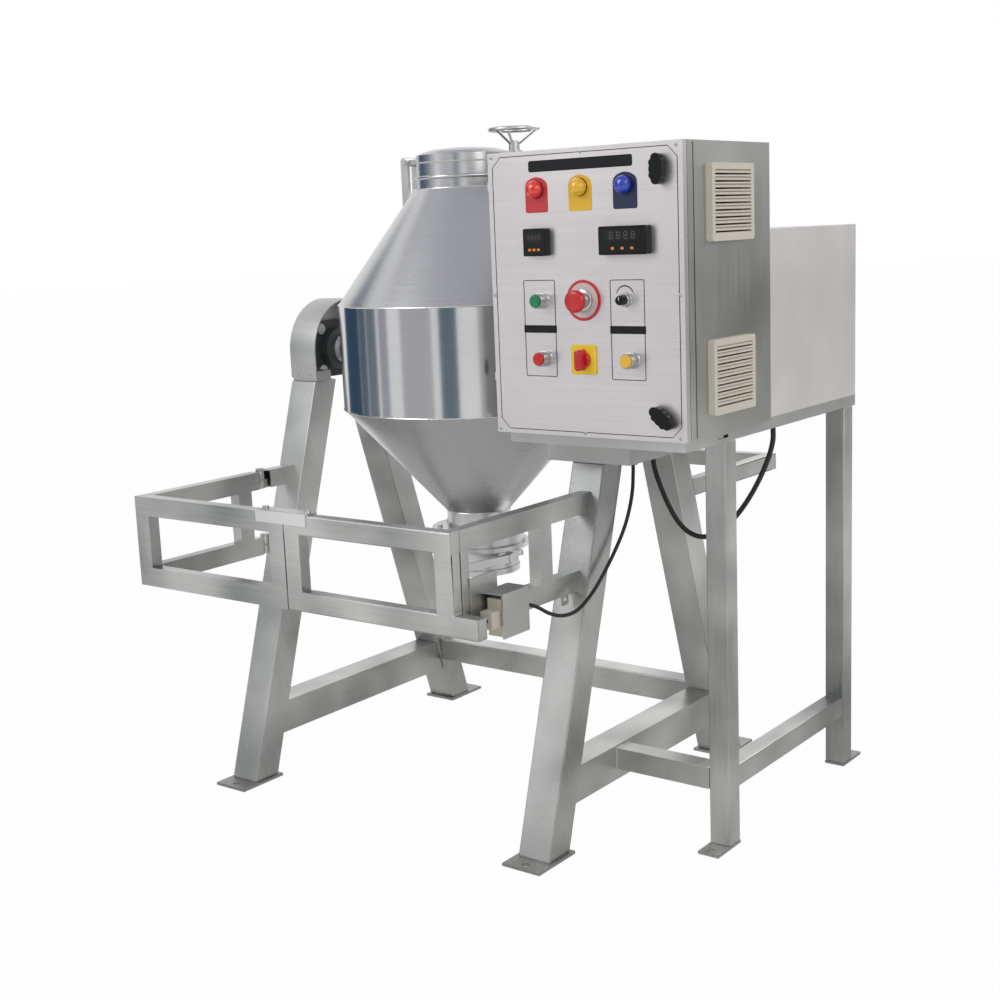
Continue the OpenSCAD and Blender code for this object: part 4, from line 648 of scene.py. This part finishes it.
# The name plates under the lamps: coloured laminate with an arched top, glued on and
# left bare.
LAMP_XS = {"red": 0.105, "amber": 0.197, "blue": 0.288}
LAMP_UP, LAMP_PLATE_UP = 0.433, 0.416
for name, low, high in (("red", (0.50, 0.02, 0.03), (0.62, 0.05, 0.06)),
                        ("amber", (0.72, 0.40, 0.02), (0.82, 0.50, 0.04)),
                        ("blue", (0.006, 0.014, 0.05), (0.012, 0.022, 0.08))):
    laminate = moulded(name + "_laminate", low, high, 0.25)
    plate = flat_plate(tablet(0.048, 0.046, 0.004, 0.015), 0.0008, 0.0004)
    piece(name + "_lamp_plate", [skin(on_panel(plate, (LAMP_XS[name], LAMP_PLATE_UP)))],
          "door", laminate, "black_plastic")

# The panel's screws: bright steel pan heads with a cross recess, driven into the
# door round the border.
chrome = brushed("bright_metal", (0.66, 0.66, 0.66), (0.46, 0.46, 0.46), 0.10, (40, 40, 40), grain=0.01)


def turned_shape(profile, n=40):
    """A profile of (radius, height) spun about the local axis that points out of the panel."""
    return np.stack([np.column_stack([circle(max(r, 0.0002), n), np.full(n, w)]) for r, w in profile])


def screw(spot, r=0.0032):
    """A low dome with a cross cut in it, which is the head's radius pinched at four angles."""
    head = turned_shape([(r, -0.0002), (r, r * 0.2), (r * 0.86, r * 0.42), (r * 0.6, r * 0.55)], 32)
    cut = turned_shape([(r * 0.5, r * 0.56)], 32)
    angle = np.linspace(0, 2 * np.pi, 32, endpoint=False)
    cut[0, :, :2] *= (0.45 + 0.55 * np.abs(np.cos(2 * angle)) ** 3)[:, None]
    low = cut * (0.9, 0.9, 1) - (0, 0, r * 0.4)
    return skin(on_panel(np.concatenate([head, cut, low]), spot))


SCREW_SPOTS = ((0.008, 0.492), (0.199, 0.492), (0.388, 0.492), (0.391, 0.248), (0.007, 0.007),
               (0.194, 0.007), (0.388, 0.007), (0.006, 0.250))
piece("panel_screws", [screw(spot) for spot in SCREW_SPOTS], "door", chrome, "bezel_metal")

# The pilot lamps: a black collar through the door and a domed lens of clear coloured
# plastic, faceted inside.
LENS_R, LENS_WALL, LENS_DOME = 0.0150, 0.0080, 0.0118
HOLE_R, BEHIND = 0.0105, -0.045
dome = [(0.0146, 0.002), (LENS_R, 0.0035), (LENS_R, 0.0075)]
dome += [(LENS_R * math.cos(a), LENS_WALL + LENS_DOME * math.sin(a)) for a in np.linspace(0.03, 1.52, 11)]
for name, colour, core in (("red", (0.72, 0.01, 0.012), (0.95, 0.10, 0.06)),
                           ("amber", (0.80, 0.42, 0.005), (0.95, 0.62, 0.04)),
                           ("blue", (0.004, 0.03, 0.42), (0.02, 0.10, 0.62))):
    lens_finish = Finish(name + "_lens", Roughness=0.08, Coat_Weight=0.6, Specular_IOR_Level=0.6)
    facets = lens_finish.node("ShaderNodeTexVoronoi", {}, {"Vector": lens_finish.place(), "Scale": 330})
    lens_finish.shade(Base_Color=lens_finish.mix(facets * 1.6, core, colour),
                      Normal=lens_finish.bump(facets, 0.35, 0.0006))
    piece(name + "_lens", [skin(on_panel(turned_shape(dome), (LAMP_XS[name], LAMP_UP)))],
          "door", lens_finish, "lamp_lens", ("pilot_lamps",) if name == "red" else ())
collar = turned_shape([(HOLE_R, BEHIND), (HOLE_R, SUNK), (0.0157, 0), (0.0157, 0.0014), (0.0152, 0.0020),
                       (0.0140, 0.0021)])
piece("lamp_collars", [skin(on_panel(collar, (x, LAMP_UP))) for x in LAMP_XS.values()],
      "door", black, "black_plastic")

# The timer and the speed meter: black cased instruments with a smoked window, unlit
# figures of seven bars and small orange keys, clamped into the door.
CASE_H, METER_W, CASE_BEHIND, FACE_BACK = 0.048, 0.096, -0.060, 0.0008
WINDOW_UP, KEYS_DOWN, FIGURE_PITCH = 0.0085, 0.013, 0.0145
DIGIT_W, DIGIT_H, BAR_T = 0.0062, 0.0112, 0.0012
# Each bar's middle in half widths and half heights of the figure, and whether it is upright
BARS = ((0, 1, 0), (0, 0, 0), (0, -1, 0), (-1, 0.5, 1), (1, 0.5, 1), (-1, -0.5, 1), (1, -0.5, 1))


def figure_bar(dx, dy, upright):
    """One bar of a figure: a strip with pointed ends."""
    tip = ((DIGIT_H / 2 if upright else DIGIT_W) - BAR_T * 0.7) / 2
    half = BAR_T / 2
    bar = np.array([(tip, 0), (tip - half, half), (half - tip, half), (-tip, 0), (half - tip, -half),
                    (tip - half, -half)])
    bar = bar[:, ::-1] * (-1, 1) if upright else bar
    return bar + (dx * DIGIT_W / 2, dy * DIGIT_H / 2)


smoke = moulded("smoked_window", (0.004, 0.005, 0.005), (0.009, 0.010, 0.010), 0.06, 200,
                Specular_IOR_Level=0.3)
cases, windows, keys, figures = [], [], [], []
for spot, w, proud in (((0.107, 0.342), CASE_H, 0.016), ((0.290, 0.341), METER_W, 0.017)):
    face = proud - FACE_BACK
    case = stack(tablet(w, CASE_H, 0.003), (
        (0.003, CASE_BEHIND), (0.003, SUNK), (0, 0), (0, proud - 0.0015), (0.0012, proud), (0.0020, proud),
        (0.0026, face)))
    cases.append(skin(on_panel(case, spot)))
    window = flat_plate(tablet(w * 0.74, 0.019, 0.001), 0.0004, 0.0002) + (0, WINDOW_UP, face)
    windows.append(skin(on_panel(window, spot)))
    for k in range(3):
        key = flat_plate(tablet(0.006, 0.0045, 0.0015), 0.0012, 0.0004)
        keys.append(skin(on_panel(key + (w * 0.2 * (k - 1), -KEYS_DOWN, face), spot)))
    w_share = w / METER_W
    for k in range(4):
        for bar in BARS:
            outline = figure_bar(*bar) * (w_share * 0.9 + 0.1)
            outline = outline + ((k - 1.5) * FIGURE_PITCH * w_share, WINDOW_UP)
            raised = stack(outline, ((0, 0), (0, 0.0003))) + (0, 0, proud - 0.0004)
            figures.append(skin(on_panel(raised, spot)))
piece("meter_cases", cases, "door", black, "black_plastic", ("panel_meters",))
piece("meter_windows", windows, "door", smoke, "black_plastic")
orange = moulded("orange_key", (0.75, 0.20, 0.02), (0.85, 0.28, 0.04))
piece("meter_keys", keys, "door", orange, "black_plastic")
unlit = moulded("unlit_figures", (0.075, 0.085, 0.075), (0.11, 0.12, 0.11), 0.4)
piece("meter_figures", figures, "door", unlit, "black_plastic")


# The push buttons: a bright turned ring, clamped through the door, with a dished
# coloured cap that sinks into it.
def spun(profile, spot, n=40, looped=False):
    """A profile of (radius, height) spun about a spot on the panel."""
    return skin(on_panel(turned_shape(profile, n), spot), looped)


RING_SHAPE = ((HOLE_R, BEHIND), (HOLE_R, SUNK), (0.0146, 0), (0.0146, 0.0020), (0.0138, 0.0030),
              (0.0138, 0.0228), (0.0131, 0.0240), (0.0117, 0.0240), (0.0111, 0.0234), (0.0111, 0.0002))
CAP_SHAPE = ((0.0110, 0.0045), (0.0110, 0.0268), (0.0102, 0.0279), (0.0084, 0.0280), (0.0052, 0.0274),
             (0.0, 0.0272))
BUTTONS = (("start", (0.112, 0.240), (0.005, 0.16, 0.06), (0.01, 0.25, 0.10), "green_plastic"),
           ("stop", (0.115, 0.138), (0.48, 0.008, 0.01), (0.62, 0.02, 0.02), "red_plastic"),
           ("inch", (0.297, 0.138), (0.78, 0.42, 0.03), (0.86, 0.54, 0.06), "yellow_plastic"))
for name, spot, low, high, slot in BUTTONS:
    piece(name + "_cap", [spun(CAP_SHAPE, spot)], name + "_cap", moulded(name + "_cap", low, high), slot,
          (name + "_button",))
SPEED_AT = (0.286, 0.241)
SPEED_BASE = ((HOLE_R, -0.022), (HOLE_R, SUNK), (0.0125, 0), (0.0125, 0.002), (0.0110, 0.003),
              (0.0110, 0.0112), (0.0102, 0.012), (0.0035, 0.012))
button_rings = [spun(RING_SHAPE, spot) for _, spot, *_ in BUTTONS] + [spun(SPEED_BASE, SPEED_AT)]
piece("button_rings", button_rings, "door", chrome, "bezel_metal", ("button_bezels",))

# The emergency stop: a pale plate edged by a red ring, a bright collar, and a red
# mushroom head on a neck that slides in it.
STOP_AT = (0.198, 0.240)
red = moulded("stop_red", (0.50, 0.006, 0.012), (0.60, 0.014, 0.018), 0.22, 900, Coat_Weight=0.3)
STOP_RING = ((0.0355, SUNK), (0.0355, 0.0014), (0.0348, 0.0020), (0.0310, 0.0020), (0.0305, 0.0016),
             (0.0305, SUNK))
piece("stop_ring", [spun(STOP_RING, STOP_AT, 72, True)], "door", red, "red_plastic")
pale = moulded("stop_plate", (0.62, 0.50, 0.49), (0.70, 0.58, 0.57), 0.3)
STOP_PLATE = ((HOLE_R, BEHIND), (HOLE_R, SUNK), (0.0306, 0), (0.0306, 0.0015), (0.0175, 0.0015))
piece("stop_plate", [spun(STOP_PLATE, STOP_AT, 64)], "door", pale, "red_plastic")
STOP_COLLAR = ((0.0200, 0.0014), (0.0200, 0.0060), (0.0188, 0.0072), (0.015, 0.0080), (0.015, 0.0176),
               (0.012, 0.0177))
piece("stop_collar", [spun(STOP_COLLAR, STOP_AT, 64)], "door", chrome, "bezel_metal")
STOP_HEAD = ((0.0094, -0.001), (0.0094, 0.0218), (0.0190, 0.0222), (0.0200, 0.0240), (0.0200, 0.0280),
             (0.0190, 0.0312), (0.0165, 0.0335), (0.0120, 0.0346), (0.0110, 0.0342), (0.0, 0.0346))
piece("stop_head", [spun(STOP_HEAD, STOP_AT, 64)], "emergency_cap", red, "red_plastic",
      ("emergency_button",))

# The speed knob: a black fluted knob with a white pointer line, pushed on the spindle
# of a bright base.
FLUTES, FLUTE_SHARE = 24, 0.035
GRIP_TOP = 0.0250


def fluted(profile):
    """A spun profile whose radius waves round the flutes."""
    shape = turned_shape(profile, 96)
    angle = np.linspace(0, 2 * np.pi, 96, endpoint=False)
    shape[..., :2] *= (1 + FLUTE_SHARE * np.cos(FLUTES * angle))[None, :, None]
    return shape


grip = [(0.0030, -0.0100), (0.0030, 0.0122), (0.0082, 0.0124), (0.0080, 0.0230), (0.0074, 0.0246),
        (0.0064, GRIP_TOP)]
piece("speed_grip", [skin(on_panel(fluted(grip), SPEED_AT))], "speed_dial", black, "black_plastic",
      ("speed_knob",))
white = moulded("white_line", (0.70, 0.70, 0.68), (0.80, 0.80, 0.78), 0.4)
pointer = flat_plate(tablet(0.0012, 0.0060, 0.0004), 0.0004, 0.0001) + (0, 0.0030, GRIP_TOP)
piece("speed_pointer", [skin(on_panel(pointer, SPEED_AT))], "speed_dial", white, "black_plastic")

# The rotary switch: a yellow square plate and a red knob, a turned foot with a grip
# across it.
MODE_AT = (0.196, 0.137)
yellow = moulded("switch_yellow", (0.80, 0.55, 0.01), (0.88, 0.64, 0.03), 0.3)
MODE_STEPS = ((0.021, BEHIND), (0.021, SUNK), (0, 0), (0, 0.0022), (0.001, 0.003))
piece("mode_plate", [skin(on_panel(stack(tablet(0.052, 0.052, 0.004), MODE_STEPS), MODE_AT))],
      "door", yellow, "yellow_plastic")
MODE_FOOT = ((0.0060, -0.0100), (0.0060, 0.0031), (0.0150, 0.0033), (0.0150, 0.0085), (0.0138, 0.0102),
             (0.0125, 0.0103))
GRIP_STEPS = ((0, 0.0033), (0, 0.0220), (0.0010, 0.0236), (0.0026, 0.0242))
mode_grip = stack(tablet(0.0135, 0.037, 0.0066), GRIP_STEPS)
piece("mode_knob", [spun(MODE_FOOT, MODE_AT, 64), skin(on_panel(mode_grip, MODE_AT))],
      "mode_dial", red, "red_plastic", ("mode_switch",))
